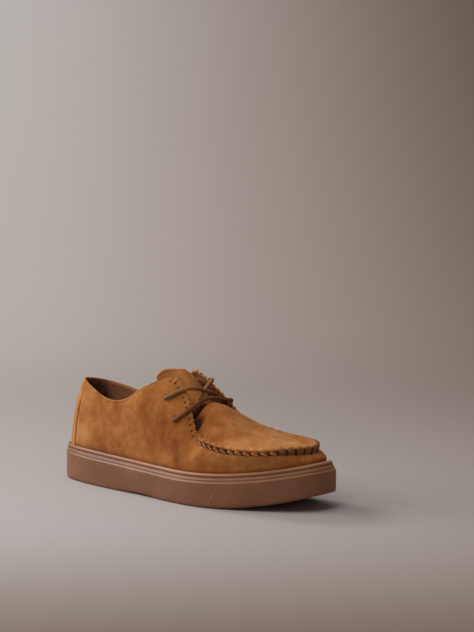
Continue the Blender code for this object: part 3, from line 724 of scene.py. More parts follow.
def sheet_faces(outer, inner, quads):
    """Points and faces of a closed wall between two sheets of the same faces."""
    count = len(outer)
    quads = [tuple(int(k) for k in q) for q in quads]
    seen = set()
    for q in quads:
        for a, b in zip(q, q[1:] + q[:1]):
            seen.add((a, b))
    rim = [(a, b) for a, b in seen if (b, a) not in seen]
    rim.sort()
    faces = list(quads)
    faces += [tuple(count + k for k in reversed(q)) for q in quads]
    faces += [(b, a, a + count, b + count) for a, b in rim]
    return np.concatenate([outer, inner]), faces


def grid_faces(rows, columns, closed=False):
    """Faces of a grid whose points run column by column; a closed one goes round."""
    faces = []
    for c in range(columns if closed else columns - 1):
        n = (c + 1) % columns
        faces += [(c * rows + r, n * rows + r, n * rows + r + 1, c * rows + r + 1) for r in range(rows - 1)]
    return faces


def ring_faces(count, rings):
    """Faces between closed rings of points that follow one another."""
    faces = []
    for a in range(0, (rings - 1) * count, count):
        b = a + count
        faces += [(a + k, a + (k + 1) % count, b + (k + 1) % count, b + k) for k in range(count)]
    return faces


def points_along(path, run, at):
    """Points at distances along a path whose own points lie at the distances in run."""
    return np.column_stack([np.interp(at, run, path[:, k]) for k in range(3)])


def show(name, data):
    """New object in the scene."""
    obj = bpy.data.objects.new(name, data)
    bpy.context.scene.collection.objects.link(obj)
    return obj


def piece(name, points, faces, mat, replaced=(), tone=None, sharp=None):
    """Mesh object in the part's frame that rides on the shoe."""
    mesh = bpy.data.meshes.new(name)
    mesh.from_pydata(row_frame(points).tolist(), [], faces)
    if tone is not None:
        values = mesh.attributes.new("tone", "FLOAT", "POINT").data
        values.foreach_set("value", np.asarray(tone, np.float32))
    bm = bmesh.new()
    bm.from_mesh(mesh)
    bmesh.ops.recalc_face_normals(bm, faces=bm.faces)
    bm.to_mesh(mesh)
    bm.free()
    mesh.shade_smooth()
    if sharp:
        mesh.set_sharp_from_angle(angle=math.radians(sharp))
    mesh.materials.append(mat)
    obj = show(name, mesh)
    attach(obj, "root")
    for node in replaced:
        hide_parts(node)
    return obj


def cord_mesh(path, width, height, samples, sides, ups=None):
    """Oval cord along a path, with rounded closed ends. ups give the flat side's direction."""
    path = np.asarray(path, float)
    run = lengths(path)
    at = np.linspace(0, run[-1], samples)
    centres = np.column_stack([spline(run, path[:, k])(at) for k in range(3)])
    tangents = unit(np.gradient(centres, axis=0))
    if ups is None:
        ups = np.tile((0.0, 0.0, 1.0), (len(path), 1))
    lift = points_along(np.asarray(ups), run, at)
    side = unit(np.cross(tangents, lift))
    lift = np.cross(side, tangents)
    angle = 2 * math.pi * np.arange(sides) / sides
    end = np.minimum(at, run[-1] - at)
    cap = np.sqrt(np.clip(1 - (1 - np.clip(end / (height / 2), 0, 1)) ** 2, 0.02, 1))
    ring = (
        side[:, None] * (np.cos(angle) * width / 2)[None, :, None]
        + lift[:, None] * (np.sin(angle) * height / 2)[None, :, None]
    )
    points = (centres[:, None] + ring * cap[:, None, None]).reshape(-1, 3)
    faces = ring_faces(sides, samples)
    faces.append(tuple(reversed(range(sides))))
    faces.append(tuple(range((samples - 1) * sides, samples * sides)))
    return points, faces


def joined(parts):
    """Several meshes as one set of points and faces."""
    points, faces, base = [], [], 0
    for p, f in parts:
        points.append(p)
        faces += [tuple(base + k for k in face) for face in f]
        base += len(p)
    return np.concatenate(points), faces


# Materials


class Nodes:
    """Short hand for a material's node tree."""

    def __init__(self, name):
        self.mat = bpy.data.materials.new(name)
        self.mat.use_nodes = True
        self.tree = self.mat.node_tree
        self.shader = self.tree.nodes["Principled BSDF"]
        self.place = self.add("ShaderNodeTexCoord").outputs["Object"]

    def add(self, kind, **settings):
        node = self.tree.nodes.new(kind)
        for key, value in settings.items():
            setattr(node, key, value)
        return node

    def link(self, source, target):
        self.tree.links.new(source, target)

    def noise(self, scale, detail=2.0, rough=0.5, stretch=None, warp=0.0):
        node = self.add("ShaderNodeTexNoise")
        node.inputs["Scale"].default_value = scale
        node.inputs["Detail"].default_value = detail
        node.inputs["Roughness"].default_value = rough
        node.inputs["Distortion"].default_value = warp
        place = self.place
        if stretch:
            mapping = self.add("ShaderNodeMapping")
            mapping.inputs["Scale"].default_value = stretch
            self.link(place, mapping.inputs["Vector"])
            place = mapping.outputs["Vector"]
        self.link(place, node.inputs["Vector"])
        return node.outputs["Fac"]

    def math(self, kind, a, b):
        node = self.add("ShaderNodeMath", operation=kind)
        for k, value in enumerate((a, b)):
            if isinstance(value, (int, float)):
                node.inputs[k].default_value = value
            else:
                self.link(value, node.inputs[k])
        return node.outputs[0]

    def sum(self, *terms):
        """Weighted sum of (output, weight) pairs."""
        total = None
        for output, weight in terms:
            term = self.math("MULTIPLY", output, weight)
            total = term if total is None else self.math("ADD", total, term)
        return total

    def ramp(self, factor, stops):
        node = self.add("ShaderNodeValToRGB")
        while len(node.color_ramp.elements) < len(stops):
            node.color_ramp.elements.new(0.5)
        for element, (place, colour) in zip(node.color_ramp.elements, stops):
            element.position = place
            element.color = (*colour, 1)
        self.link(factor, node.inputs["Fac"])
        return node.outputs["Color"]

    def attribute(self, name):
        return self.add("ShaderNodeAttribute", attribute_name=name).outputs["Fac"]

    def range(self, value, low, high):
        node = self.add("ShaderNodeMapRange")
        node.inputs["To Min"].default_value = low
        node.inputs["To Max"].default_value = high
        self.link(value, node.inputs["Value"])
        return node.outputs["Result"]

    def bump(self, height, strength, distance):
        node = self.add("ShaderNodeBump")
        node.inputs["Strength"].default_value = strength
        node.inputs["Distance"].default_value = distance
        self.link(height, node.inputs["Height"])
        self.link(node.outputs["Normal"], self.shader.inputs["Normal"])

    def colour(self, output):
        self.link(output, self.shader.inputs["Base Color"])

    def roughness(self, output):
        self.link(output, self.shader.inputs["Roughness"])

    def set(self, **values):
        for key, value in values.items():
            self.shader.inputs[key.replace("_", " ")].default_value = value


def suede(name, deep, dark, middle, light, tone_gain=0.5):
    n = Nodes(name)
    cloud = n.noise(42, 2.0, 0.5, None, 0.25)
    mottle = n.noise(150, 3.0, 0.6, None, 0.2)
    nap = n.noise(900, 2.0, 0.6)
    fibre = n.noise(3600, 2.0, 0.7)
    mix = n.sum((cloud, 0.62), (mottle, 0.42), (nap, 0.24), (fibre, 0.24), (n.attribute("tone"), tone_gain))
    stops = ((0.0, deep), (0.28, dark), (0.50, middle), (0.76, light))
    n.colour(n.ramp(n.math("SUBTRACT", mix, 0.25), stops))
    n.roughness(n.range(nap, 0.82, 0.98))
    n.bump(n.sum((nap, 0.6), (fibre, 0.7), (mottle, 0.35)), 0.55, 0.35 * MM)
    n.set(Sheen_Weight=0.20, Sheen_Roughness=0.45, Sheen_Tint=(1.0, 0.66, 0.38, 1), Specular_IOR_Level=0.12)
    return n.mat


def rubber(name):
    n = Nodes(name)
    cloud = n.noise(35, 3.0, 0.5)
    grain = n.noise(1600, 2.0, 0.6)
    mix = n.sum((cloud, 0.5), (grain, 0.25), (n.attribute("tone"), 0.5))
    stops = (
        (0.0, (0.070, 0.022, 0.011)), (0.28, (0.190, 0.073, 0.034)), (0.42, (0.218, 0.087, 0.041)),
        (0.60, (0.295, 0.126, 0.062)), (0.90, (0.440, 0.215, 0.115)),
    )
    n.colour(n.ramp(mix, stops))
    n.roughness(n.range(grain, 0.44, 0.58))
    n.bump(grain, 0.12, 0.12 * MM)
    n.set(Specular_IOR_Level=0.38)
    return n.mat


def leather(name, dark, light, rough, scale=900):
    n = Nodes(name)
    cloud = n.noise(90, 3.0, 0.6)
    pores = n.add("ShaderNodeTexVoronoi")
    pores.inputs["Scale"].default_value = scale
    n.link(n.place, pores.inputs["Vector"])
    grain = n.noise(scale * 1.7, 3.0, 0.6)
    mix = n.sum((cloud, 0.6), (grain, 0.25), (pores.outputs["Distance"], 0.25), (n.attribute("tone"), 0.6))
    n.colour(n.ramp(mix, ((0.25, dark), (0.75, light))))
    n.roughness(n.range(grain, rough - 0.08, rough + 0.08))
    n.bump(n.sum((pores.outputs["Distance"], 0.8), (grain, 0.4)), 0.35, 0.25 * MM)
    n.set(Specular_IOR_Level=0.2)
    return n.mat


def thread(name, dark, light):
    n = Nodes(name)
    twist = n.add("ShaderNodeTexWave", wave_type="BANDS", bands_direction="DIAGONAL")
    twist.inputs["Scale"].default_value = 420
    twist.inputs["Distortion"].default_value = 1.2
    n.link(n.place, twist.inputs["Vector"])
    fuzz = n.noise(1800, 2.0, 0.6)
    mix = n.sum((twist.outputs["Fac"], 0.45), (fuzz, 0.55))
    n.colour(n.ramp(mix, ((0.2, dark), (0.8, light))))
    n.roughness(n.range(fuzz, 0.85, 0.98))
    n.bump(n.sum((twist.outputs["Fac"], 0.7), (fuzz, 0.4)), 0.5, 0.2 * MM)
    n.set(Specular_IOR_Level=0.1)
    return n.mat


def backdrop(name):
    """Paper with painted light, paler and cooler on the left, and painted shade toward the front, the right
    and in a soft dip behind.
    """
    n = Nodes(name)
    cloud = n.noise(1.1, 3.0, 0.5)
    split = n.add("ShaderNodeSeparateXYZ")
    n.link(n.place, split.inputs[0])
    x, y, up = split.outputs
    a = math.radians(CAMERA_HEADING)
    right = n.sum((x, math.cos(a)), (y, math.sin(a)))
    right = n.math("MINIMUM", n.math("MAXIMUM", right, -0.55), 0.6)
    behind = n.sum((x, -math.sin(a)), (y, math.cos(a)))
    behind = n.math("MINIMUM", n.math("MAXIMUM", behind, -0.5), 2.4)
    up = n.math("MINIMUM", up, 0.7)
    front = n.math("MAXIMUM", n.math("SUBTRACT", -0.12, behind), 0.0)
    gap = n.math("SUBTRACT", behind, 0.7)
    dip = n.math("EXPONENT", n.math("MULTIPLY", n.math("MULTIPLY", gap, gap), -3.3), 0.0)
    products = [n.math("MULTIPLY", a, b) for a, b in ((right, up), (right, right), (front, front))]
    terms = (right, behind, up, *products, dip)
    colour = n.add("ShaderNodeCombineColor")
    for channel, (whole, *weights) in enumerate(PAPER_PAINTED_LIGHT):
        tone = n.math("ADD", n.sum(*zip(terms, weights)), whole)
        paper = n.math("MULTIPLY", n.math("EXPONENT", tone, 0.0), n.range(cloud, 0.97, 1.03))
        n.link(paper, colour.inputs[channel])
    n.colour(colour.outputs[0])
    n.roughness(n.range(cloud, 0.85, 0.95))
    n.set(Specular_IOR_Level=0.1)
    return n.mat


# Pieces of the shoe


def skin_columns():
    """Values of u round the shoe: closer together along the seam than round the heel."""
    half = []
    for start, end, spacing in ((0.0, STRIP_EDGE, 1.9), (STRIP_EDGE, THROAT_U, 1.55)):
        fine = np.linspace(start, end, 500)
        run = (lengths(foot(fine)) + lengths(top_edge(fine))) / 2
        count = int(round(run[-1] / (spacing * MM)))
        half += list(np.interp(np.linspace(0, run[-1], count + 1)[:-1], run, fine))
    near = [u for u in half if not -0.005 < u - STRIP_EDGE < 0.011]
    near += [STRIP_EDGE + k for k in (-0.0035, -0.0006, 0.0006, 0.002, 0.004, 0.0065, 0.0095)]
    half = sorted(near)
    fine = np.linspace(THROAT_U, 1.0, 900)
    run = lengths(top_edge(fine))
    count = int(round(run[-1] / (0.78 * MM)))
    half += list(np.interp(np.linspace(0, run[-1], count + 1)[:-1], run, fine))
    return np.array(half + [1.0] + [2 - u for u in half[:0:-1]])


def seam_tone(u, across):
    """Painted shade in the pits, on the face and between the lumps of the gathered seam, under a painted
    highlight on its top.
    """
    strength = np.minimum(seam_strength(u), 1)
    pit = pit_share(u, across)
    toe = toe_share(u)
    face = smooth_step(across, -3.9 * MM, -2.9 * MM) * smooth_step(across, -0.1 * MM, -1.3 * MM)
    top = bell(across - 1.2 * MM, 2.4 * MM)
    beat = np.cos(2 * math.pi * (seam_phase(u) + gather_slant(u) * (across - PIT_MIDDLE) / PITCH))
    dips = np.clip(beat, 0, 1) ** 2 * bell(across - 1.4 * MM, 1.5 * MM)
    shade = (1.10 * np.sqrt(pit) + 0.62 - 0.14 * toe) * face
    return strength * ((0.06 + 0.12 * toe) * top - 0.45 * dips - shade)


def skin_rows(u):
    """Heights v up the wall of one section."""
    side = side_length(u)
    last = 1 + WALL_REACH[0] * MM / side
    low = [-0.5, -0.2, -0.06, 0.0]
    middle = list(last * np.linspace(0.035, 0.965, 21))
    return np.array(low + middle + [1 + r * MM / side for r in WALL_REACH])


def apron_rows(u):
    """Heights v from the seam to the middle line."""
    width = apron_width(u)
    near = [1 + r * MM / width for r in APRON_REACH]
    return np.array(near + list(near[-1] + (2 - near[-1]) * np.linspace(0, 1, 13)[1:]))


# Paler and darker patches of the suede: partly brushed nap, partly painted light on the lateral vamp toward
# the toe
def nap_and_light_tone(points):
    tone = np.zeros(len(points))
    middle = swing_at(points[:, 0] / LENGTH) * BALL_WIDTH
    side = np.sign(points[:, 1] - middle)
    for station, way, height, size, amount in NAP_AND_LIGHT_PATCHES:
        gap = np.hypot(points[:, 0] - station * LENGTH, points[:, 2] - height * MM)
        tone += np.where(side == way, amount * bell(gap, size * MM), 0)
    return tone


def build_upper(mat):
    columns = skin_columns()
    count = len(columns)
    seam = [j for j in range(count) if is_seam(columns[j])]
    u_list, v_list, ids = [], [], []
    total = 0
    for j, u in enumerate(columns):
        v = skin_rows(u)
        ids.append(list(range(total, total + len(v))))
        u_list.append(np.full(len(v), u))
        v_list.append(v)
        total += len(v)
    for j in seam:
        u = columns[j]
        v = apron_rows(u)
        shared = j > count // 2
        if shared:
            v = v[:-1]
        ids[j] += list(range(total, total + len(v)))
        if shared:
            ids[j].append(ids[count - j][-1])
        u_list.append(np.full(len(v), u))
        v_list.append(v)
        total += len(v)
    u, v = np.concatenate(u_list), np.concatenate(v_list)
    base, normal = surface(u, v), skin_normals(u, v)
    out = upper_relief(u, v, base)
    across = across_of(u, v)
    inner_out = np.full(len(u), -SKIN)
    edge = np.clip(1 + across / (0.7 * MM), 0, 1)
    inner_out += np.where(~is_seam(u) & (v > 0), 0.35 * MM * edge**2, 0)
    inner_out -= crease_depth(base) * 0.8
    inner_out = np.minimum(inner_out, out - 0.3 * MM)
    tone = nap_and_light_tone(base)
    side = side_u(u)
    eyestay = smooth_step(side, u_of(0.44), u_of(0.47)) * ~is_seam(u) * (v > 0.3)
    tone += np.where(~is_seam(u), (0.06 + 0.16 * eyestay) * bell(across, 1.0 * MM), 0)
    tone += 0.16 * eyestay * smooth_step(across, -6.0 * MM, -4.0 * MM)
    tone += np.where(is_seam(u), seam_tone(u, across), 0)
    # painted shade in a narrow band where the upper meets the sole's lip
    tone -= 0.10 * bell(v * side_length(u), 2.0 * MM) * (v < 1)
    # painted light on the apron's front and over the whole top of the apron, for light from above
    lit_apron_front = (v > 1) * smooth_step(base[:, 0], 0.70 * LENGTH, 0.86 * LENGTH)
    tone += 0.06 * lit_apron_front * np.clip(1 - np.abs(v - 1.45) / 0.6, 0, 1)
    tone += 0.09 * smooth_step(v, 1.1, 1.35)
    tone += heel_seam_tone(u, v)
    # inner face: painted light on the suede facing inside the flaps, painted shade from the eyestays down
    # to the throat
    inside = tone + 0.30 - 1.0 * smooth_step(side, u_of(0.50), u_of(0.55))
    quads = []
    for j in range(count):
        left, right = ids[j], ids[(j + 1) % count]
        for i in range(min(len(left), len(right)) - 1):
            quads.append(tuple(dict.fromkeys((left[i], right[i], right[i + 1], left[i + 1]))))
    points, faces = sheet_faces(base + normal * out[:, None], base + normal * inner_out[:, None], quads)
    obj = piece("upper_skin", points, faces, mat, ("upper",), np.concatenate([tone, inside]), 60)
    punch_lace_holes(obj, LACE_HOLE_RADIUS)
    return obj


def skin_normals(u, v):
    """Normals of the upper's skin, square to the shoe's length at the apron's rear edge."""
    normal = normals(u, v)
    at_throat = np.abs(np.abs(1 - u) - (1 - THROAT_U)) < 1e-6
    normal[at_throat & (v >= 1), 0] = 0
    return unit(normal)


def heel_seam_tone(u, v):
    """Painted shade in the groove beside the heel strip, with a painted highlight on its edge; it ends
    under the collar.
    """
    from_heel = np.minimum(u % 2, 2 - u % 2)
    fade = 1 - smooth_step(v, 0.68, 0.80)
    groove = bell(from_heel - STRIP_EDGE + STRIP_GROOVE / 2, 0.0042)
    edge = bell(from_heel - STRIP_EDGE - 0.010, 0.005)
    return fade * (0.16 * edge - 1.2 * groove)


def punch_lace_holes(obj, radius):
    """Open the four lace holes in a sheet."""
    for eyelet in EYELETS:
        for side in SIDES:
            u = on_side(u_of(eyelet.base), side)
            mesh = bpy.data.meshes.new("punch")
            bm = bmesh.new()
            bmesh.ops.create_cone(
                bm, cap_ends=True, segments=24, radius1=radius, radius2=radius, depth=6 * UPPER_WALL
            )
            bm.to_mesh(mesh)
            bm.free()
            tool = show("punch", mesh)
            tool.location = row_frame(surface(u, eyelet.up))
            tool.rotation_mode = "QUATERNION"
            tool.rotation_quaternion = Vector(normals(u, eyelet.up)).to_track_quat("Z", "Y")
            modifier = obj.modifiers.new("punch", "BOOLEAN")
            modifier.operation = "DIFFERENCE"
            modifier.solver = "EXACT"
            modifier.object = tool
            bpy.context.view_layer.update()
            done = bpy.data.meshes.new_from_object(obj.evaluated_get(bpy.context.evaluated_depsgraph_get()))
            obj.modifiers.clear()
            old = obj.data
            obj.data = done
            done.name = old.name
            bpy.data.meshes.remove(old)
            bpy.data.objects.remove(tool, do_unlink=True)
            bpy.data.meshes.remove(mesh)


def build_lining(mat):
    """Leather lining inside the wall, up to just under the collar and lower under the eyestays."""
    columns = np.concatenate([np.linspace(0, 1, 150), np.linspace(1, 2, 150)[1:-1]])
    rows = np.concatenate([[-0.85, -0.5, -0.2], np.linspace(0, 0.95, 26), [0.97, 0.982]])
    u = np.repeat(columns, len(rows))
    facing = FACING * smooth_step(side_u(u), u_of(0.41), u_of(0.47)) / side_length(u)
    v = np.tile(rows, len(columns))
    v = np.where(v > 0, v * (1 - facing), v)
    base, normal = surface(u, v), normals(u, v)
    trough = crease_depth(base) * 0.8
    near = base - normal * (LINING_OUT + trough)[:, None]
    far = base - normal * (LINING_IN + trough)[:, None]
    points, faces = sheet_faces(near, far, grid_faces(len(rows), len(columns), closed=True))
    # painted light toward the rim, painted shadow of the collar toward the back of the heel, and painted
    # shade under the eyestays
    tone = 0.25 * smooth_step(v, 0.70, 1.0) + 0.58 - 1.1 * smooth_step(base[:, 0] / LENGTH, 0.130, 0.085)
    tone -= smooth_step(side_u(u), u_of(0.42), u_of(0.46))
    obj = piece("lining", points, faces, mat, (), np.concatenate([tone, tone]))
    punch_lace_holes(obj, LACE_HOLE_RADIUS + 0.2 * MM)
    return obj


def seam_path(u, across, out):
    """Points near the top edge at a distance across it and above the smooth surface."""
    v = v_across(u, across)
    return surface(u, v) + normals(u, v) * np.asarray(out)[..., None]


def build_moc_stitches(mat, shaded_toe_mat):
    """Running stitches between the pits, loops over the crest and, at the toe, upright wraps."""
    running, loops, wraps = [], [], []
    across = np.array((-2.1, -2.3, -2.5, -2.7, -2.8, -2.7, -2.6)) * MM
    sink = np.array((1.2, 0.2, 0, 0, 0, 0.2, 1.2)) * MM
    up_face = np.array((-3.0, -2.7, -2.2, -1.6, -1.0, -0.4, 0.2)) * MM
    up_sink = np.array((0.9, 0.2, 0, 0, 0, 0.2, 0.9)) * MM
    over = np.array((-1.1, -0.8, -0.3, 0.3, 1.0, 1.8, 2.6, 3.2)) * MM
    over_sink = np.array((1.0, 0.2, 0, 0, 0, 0, 0.2, 1.1)) * MM
    for k in range(1, STITCHES - 1):
        if toe_share(seam_u((k + 0.5) * PITCH)) < 0.62:
            u = seam_u((k + np.linspace(0.16, 0.88, len(across))) * PITCH)
            path = seam_path(u, across, ridge(u, across) + 0.28 * MM - sink)
            running.append(cord_mesh(path, 1.3 * MM, 1.1 * MM, 16, 8, normals(u, v_across(u, across))))
            continue
        for share in (0.30, 0.50, 0.70):
            u = seam_u((k + share) * PITCH - TOE_SLANT * (up_face - PIT_MIDDLE))
            path = seam_path(u, up_face, ridge(u, up_face) + 0.02 * MM - up_sink)
            wraps.append(cord_mesh(path, 1.3 * MM, 1.1 * MM, 16, 8, normals(u, v_across(u, up_face))))
    for k in range(1, STITCHES):
        s = k * PITCH - gather_slant(seam_u(k * PITCH)) * (over - PIT_MIDDLE)
        u = seam_u(np.clip(s, 0, SEAM_S[-1]))
        path = seam_path(u, over, ridge(u, over) + 0.06 * MM - over_sink)
        loops.append(cord_mesh(path, 1.1 * MM, 1.1 * MM, 18, 8, normals(u, v_across(u, over))))
    points, faces = joined(running + loops)
    piece("moc_stitches", points, faces, mat)
    points, faces = joined(wraps)
    # the toe's wraps take the darker thread of painted shade
    piece("toe_wraps", points, faces, shaded_toe_mat)


def edge_run(side):
    """Values of u up an eyestay edge from the throat, a stitch apart, and on round its corner."""
    start, end = THROAT_U, u_of(0.455)
    fine = np.linspace(start, end, 400)
    fine = on_side(fine, side)
    run = lengths(top_edge(fine))
    at = np.arange(3.0 * MM, run[-1], HOLE_PITCH)
    return np.interp(at, run, fine)


def build_eyestay_stitches(mat):
    """Whip stitches over the eyestay's edge, from a row of holes to the underside."""
    across = np.array((-4.6, -4.3, -3.7, -2.8, -1.5, -0.3, 0.0, -0.2, -1.2, -2.6)) * MM
    out = np.array((-0.9, -0.20, -0.06, 0.0, 0.0, -0.10, -0.9, -2.1, -2.4, -2.4)) * MM
    overhang = np.array((0, 0, 0, 0, 0, 0.12, 0.3, 0.15, 0, 0)) * MM
    strands = []
    for side in SIDES:
        for u in edge_run(side):
            at = u + across * 0.5
            v = v_across(at, np.minimum(across, -1e-6))
            up = unit(surface(at, v) - surface(at, v - 0.02))
            path = surface(at, v) + normals(at, v) * out[:, None] + up * overhang[:, None]
            ups = np.roll(unit(np.gradient(path, axis=0)), 1, 1)
            strands.append(cord_mesh(path, 1.2 * MM, 1.2 * MM, 20, 7, ups))
    points, faces = joined(strands)
    return piece("eyestay_stitches", points, faces, mat)


def dot_mesh(centre, normal, along, radius, thickness):
    """Flattened ball, set into a surface."""
    side = np.cross(normal, along)
    points = []
    rings, sides = 5, 10
    for r in range(1, rings):
        tilt = math.pi * r / rings
        for k in range(sides):
            angle = 2 * math.pi * k / sides
            flat = along * math.cos(angle) + side * math.sin(angle)
            points.append(centre + flat * radius * math.sin(tilt) + normal * thickness * math.cos(tilt))
    faces = ring_faces(sides, rings - 1)
    faces.append(tuple(range(sides)))
    faces.append(tuple(reversed(range((rings - 2) * sides, (rings - 1) * sides))))
    return np.array(points), faces


def build_stitch_holes(mat):
    """Dark dots of painted shade in the awl holes of the eyestay's row of stitches, on both faces of the
    flap.
    """
    dots = []
    for side in SIDES:
        for u in edge_run(side):
            at = np.array([u])
            v = v_across(at, HOLE_REACH)
            base = surface(at, v)
            along = unit(surface(at + 0.004, v) - base)[0]
            normal = normals(at, v)
            relief = upper_relief(at, v, base)[:, None]
            inside = -(SKIN + 0.8 * crease_depth(base))[:, None]
            for out, radius in ((relief, 1.05 * MM), (inside, 1.1 * MM)):
                dots.append(dot_mesh((base + normal * out)[0], normal[0], along, radius, 0.22 * MM))
    points, faces = joined(dots)
    return piece("stitch_holes", points, faces, mat)


def flap_gap(points):
    """Distance from the edges of the two eyestays; the medial edge counts less."""
    gap = np.full(points.shape[:-1], 1.0)
    for side in SIDES:
        u = np.linspace(u_of(0.40), THROAT_U, 60)
        edge = top_edge(on_side(u, side))
        near = np.linalg.norm(points[..., None, :] - edge, axis=-1).min(axis=-1)
        gap = np.minimum(gap, near if side == "lateral" else near + 2 * MM)
    return gap


def build_heel_strip(mat):
    edge = STRIP_EDGE - STRIP_GROOVE
    near_edge = edge - np.array((0.0, 0.001, 0.0025, 0.0045, 0.007))
    across = np.concatenate([-near_edge, np.linspace(-edge + 0.010, edge - 0.010, 36), near_edge[::-1]])
    rows = np.concatenate([[-0.25, -0.1], np.linspace(0, 0.94, 40), [0.96, 0.98, 0.99, 1.0]])
    u = np.repeat(across, len(rows))
    v = np.tile(rows, len(across))
    base, normal = surface(u % 2, v), normals(u % 2, v)
    near = np.clip((edge - np.abs(u)) / STRIP_ROLL, 0, 1)
    out = -STRIP_SINK - 0.8 * MM * (1 - near) ** 2 + 0.25 * MM * np.cos(u / edge * math.pi / 2)
    from_edge = across_of(u % 2, v)
    top = np.clip(1 + from_edge / (0.9 * MM), 0, 1)
    out -= 0.4 * MM * top**2
    border = bell(from_edge + 2.6 * MM, 0.7 * MM)
    out -= 0.3 * MM * border
    out += waviness(base, 18 * MM, 0.3 * MM)
    tone = 0.10 + nap_and_light_tone(base) + 0.22 * bell(from_edge, 1.0 * MM)
    tone += heel_seam_tone(u, v)
    outer = base + normal * out[:, None]
    inner = base - normal * (STRIP_RECESS - 0.1 * MM)
    points, faces = sheet_faces(outer, inner, grid_faces(len(rows), len(across)))
    tone = np.concatenate([tone, tone])
    return piece("heel_strip_skin", points, faces, mat, ("heel_strip",), tone, 60)


TONGUE_KNOTS = np.linspace(0, 1, len(TONGUE_ROWS))
TONGUE_CURVES = TongueRow(*(spline(TONGUE_KNOTS, column) for column in zip(*TONGUE_ROWS)))


def tongue_surface(share, t):
    """Tongue from the throat, share = 0, to its top, 1; t runs from -1 lateral to 1 medial."""
    row = TongueRow(*(curve(share) for curve in TONGUE_CURVES))
    middle = (row.medial - row.lateral) * BALL_WIDTH / 2
    crest = np.stack([row.spine * LENGTH, middle, spine_z(row.spine)], axis=-1)
    scale = np.array((LENGTH, BALL_WIDTH, INSTEP_HEIGHT))
    lateral = np.stack([row.side, -row.lateral, row.height], axis=-1) * scale
    medial = np.stack([row.medial_side, row.medial, row.medial_height], axis=-1) * scale
    low = np.where((t > 0)[..., None], medial, lateral)
    across = low - crest
    low_handle = low - across * (APRON_SIDE_IN, APRON_SIDE_IN, APRON_SIDE_UP)
    high_handle = crest + across * (APRON_TOP_OUT, APRON_TOP_OUT, 0.0)
    return bezier(low, low_handle, high_handle, crest, 1 - np.abs(t))


def apron_rear(t):
    """Rear edge of the apron's skin, over the same t as the tongue."""
    u = np.where(t > 0, 2 - THROAT_U, THROAT_U)
    start = 1 + 2.0 * MM / apron_width(u)
    v = start + (2 - start) * (1 - np.abs(t))
    base = surface(u, v)
    return base + skin_normals(u, v) * upper_relief(u, v, base)[..., None]


def build_tongue(mat):
    """Tongue that carries the apron on under the flaps, steps down under the bar and rises to its top."""
    t = np.sin(np.linspace(-1, 1, 57) * math.pi / 2)
    upper_shares = 1 - (1 - np.linspace(0.36, 1, 44)) ** 1.2 * 0.64**-0.2
    shares = np.concatenate([np.linspace(0, 0.34, 34), upper_shares])
    share = shares[:, None] * (1 - TONGUE_CORNER * np.abs(t) ** 5 * shares[:, None] ** 4)
    t_grid = np.broadcast_to(t, share.shape)
    rows = tongue_surface(share, t_grid)
    carried = apron_rear(t)[None] + rows - tongue_surface(np.zeros_like(share), t_grid)
    keep = (1 - smooth_step(share, 0.0, 0.34))[..., None]
    rows = rows + (carried - rows) * keep
    normal = unit(np.cross(np.gradient(rows, axis=0), np.gradient(rows, axis=1)))
    normal *= np.sign(normal[..., 2].mean())
    normal[0, :, 0] = 0
    normal = unit(normal)
    top = bell(1 - shares, 0.02)[:, None]
    side = bell(1 - np.abs(t), 0.03)[None]
    stitch = bell(1 - shares - 0.07, 0.012)[:, None] * np.ones((1, len(t)))
    behind = smooth_step(share, APRON_END, APRON_END + 0.035)
    hollow = smooth_step(share, 0.0, 0.08) * bell(flap_gap(rows), 8.5 * MM)
    hollow *= 1 - smooth_step(share, 0.72, 0.86)
    sunk = APRON_STEP * behind * (1 - smooth_step(share, 0.45, 0.80)) + 2.8 * MM * hollow
    out = -0.35 * MM * np.maximum(top, side) - 0.25 * MM * stitch - sunk
    flat = rows.reshape(-1, 3)
    ripple = smooth_step(share, 0.0, 0.1).reshape(-1)
    out = out.reshape(-1) + waviness(flat, 15 * MM, 0.4 * MM) * ripple
    outer = flat + normal.reshape(-1, 3) * out[:, None]
    inner = flat - normal.reshape(-1, 3) * (TONGUE_WALL + sunk).reshape(-1)[:, None]
    quads = grid_faces(len(t), len(shares))
    lip = bell(share - APRON_END + 0.01, 0.012)
    under = smooth_step(share, APRON_END, APRON_END + 0.03) * smooth_step(share, 0.42, 0.34)
    # painted shade under the bar behind the apron's step and in the hollow along the flaps' edges, and
    # painted light on the tongue behind the step
    tone = 0.20 * top + 0.12 * side - 0.16 * stitch + 0.12 * lip
    tone = (tone - 1.5 * under - 1.7 * hollow + 0.20 * behind).reshape(-1)
    points, faces = sheet_faces(outer, inner, quads)
    # painted shade on the tongue's inner face
    tone = np.concatenate([tone, tone - 0.35])
    return piece("tongue_skin", points, faces, mat, ("tongue",), tone, 60)


def hole_points(name, side):
    """Middle line of a lace through its hole, from the inside out, and the hole's direction."""
    eyelet = next(e for e in EYELETS if e.name == LACE_HOLES[name])
    u = on_side(u_of(eyelet.base), side)
    normal = normals(u, eyelet.up)
    return [surface(u, eyelet.up) + normal * depth * MM for depth in (-5.0, -1.5, 0.6)], [normal] * 3


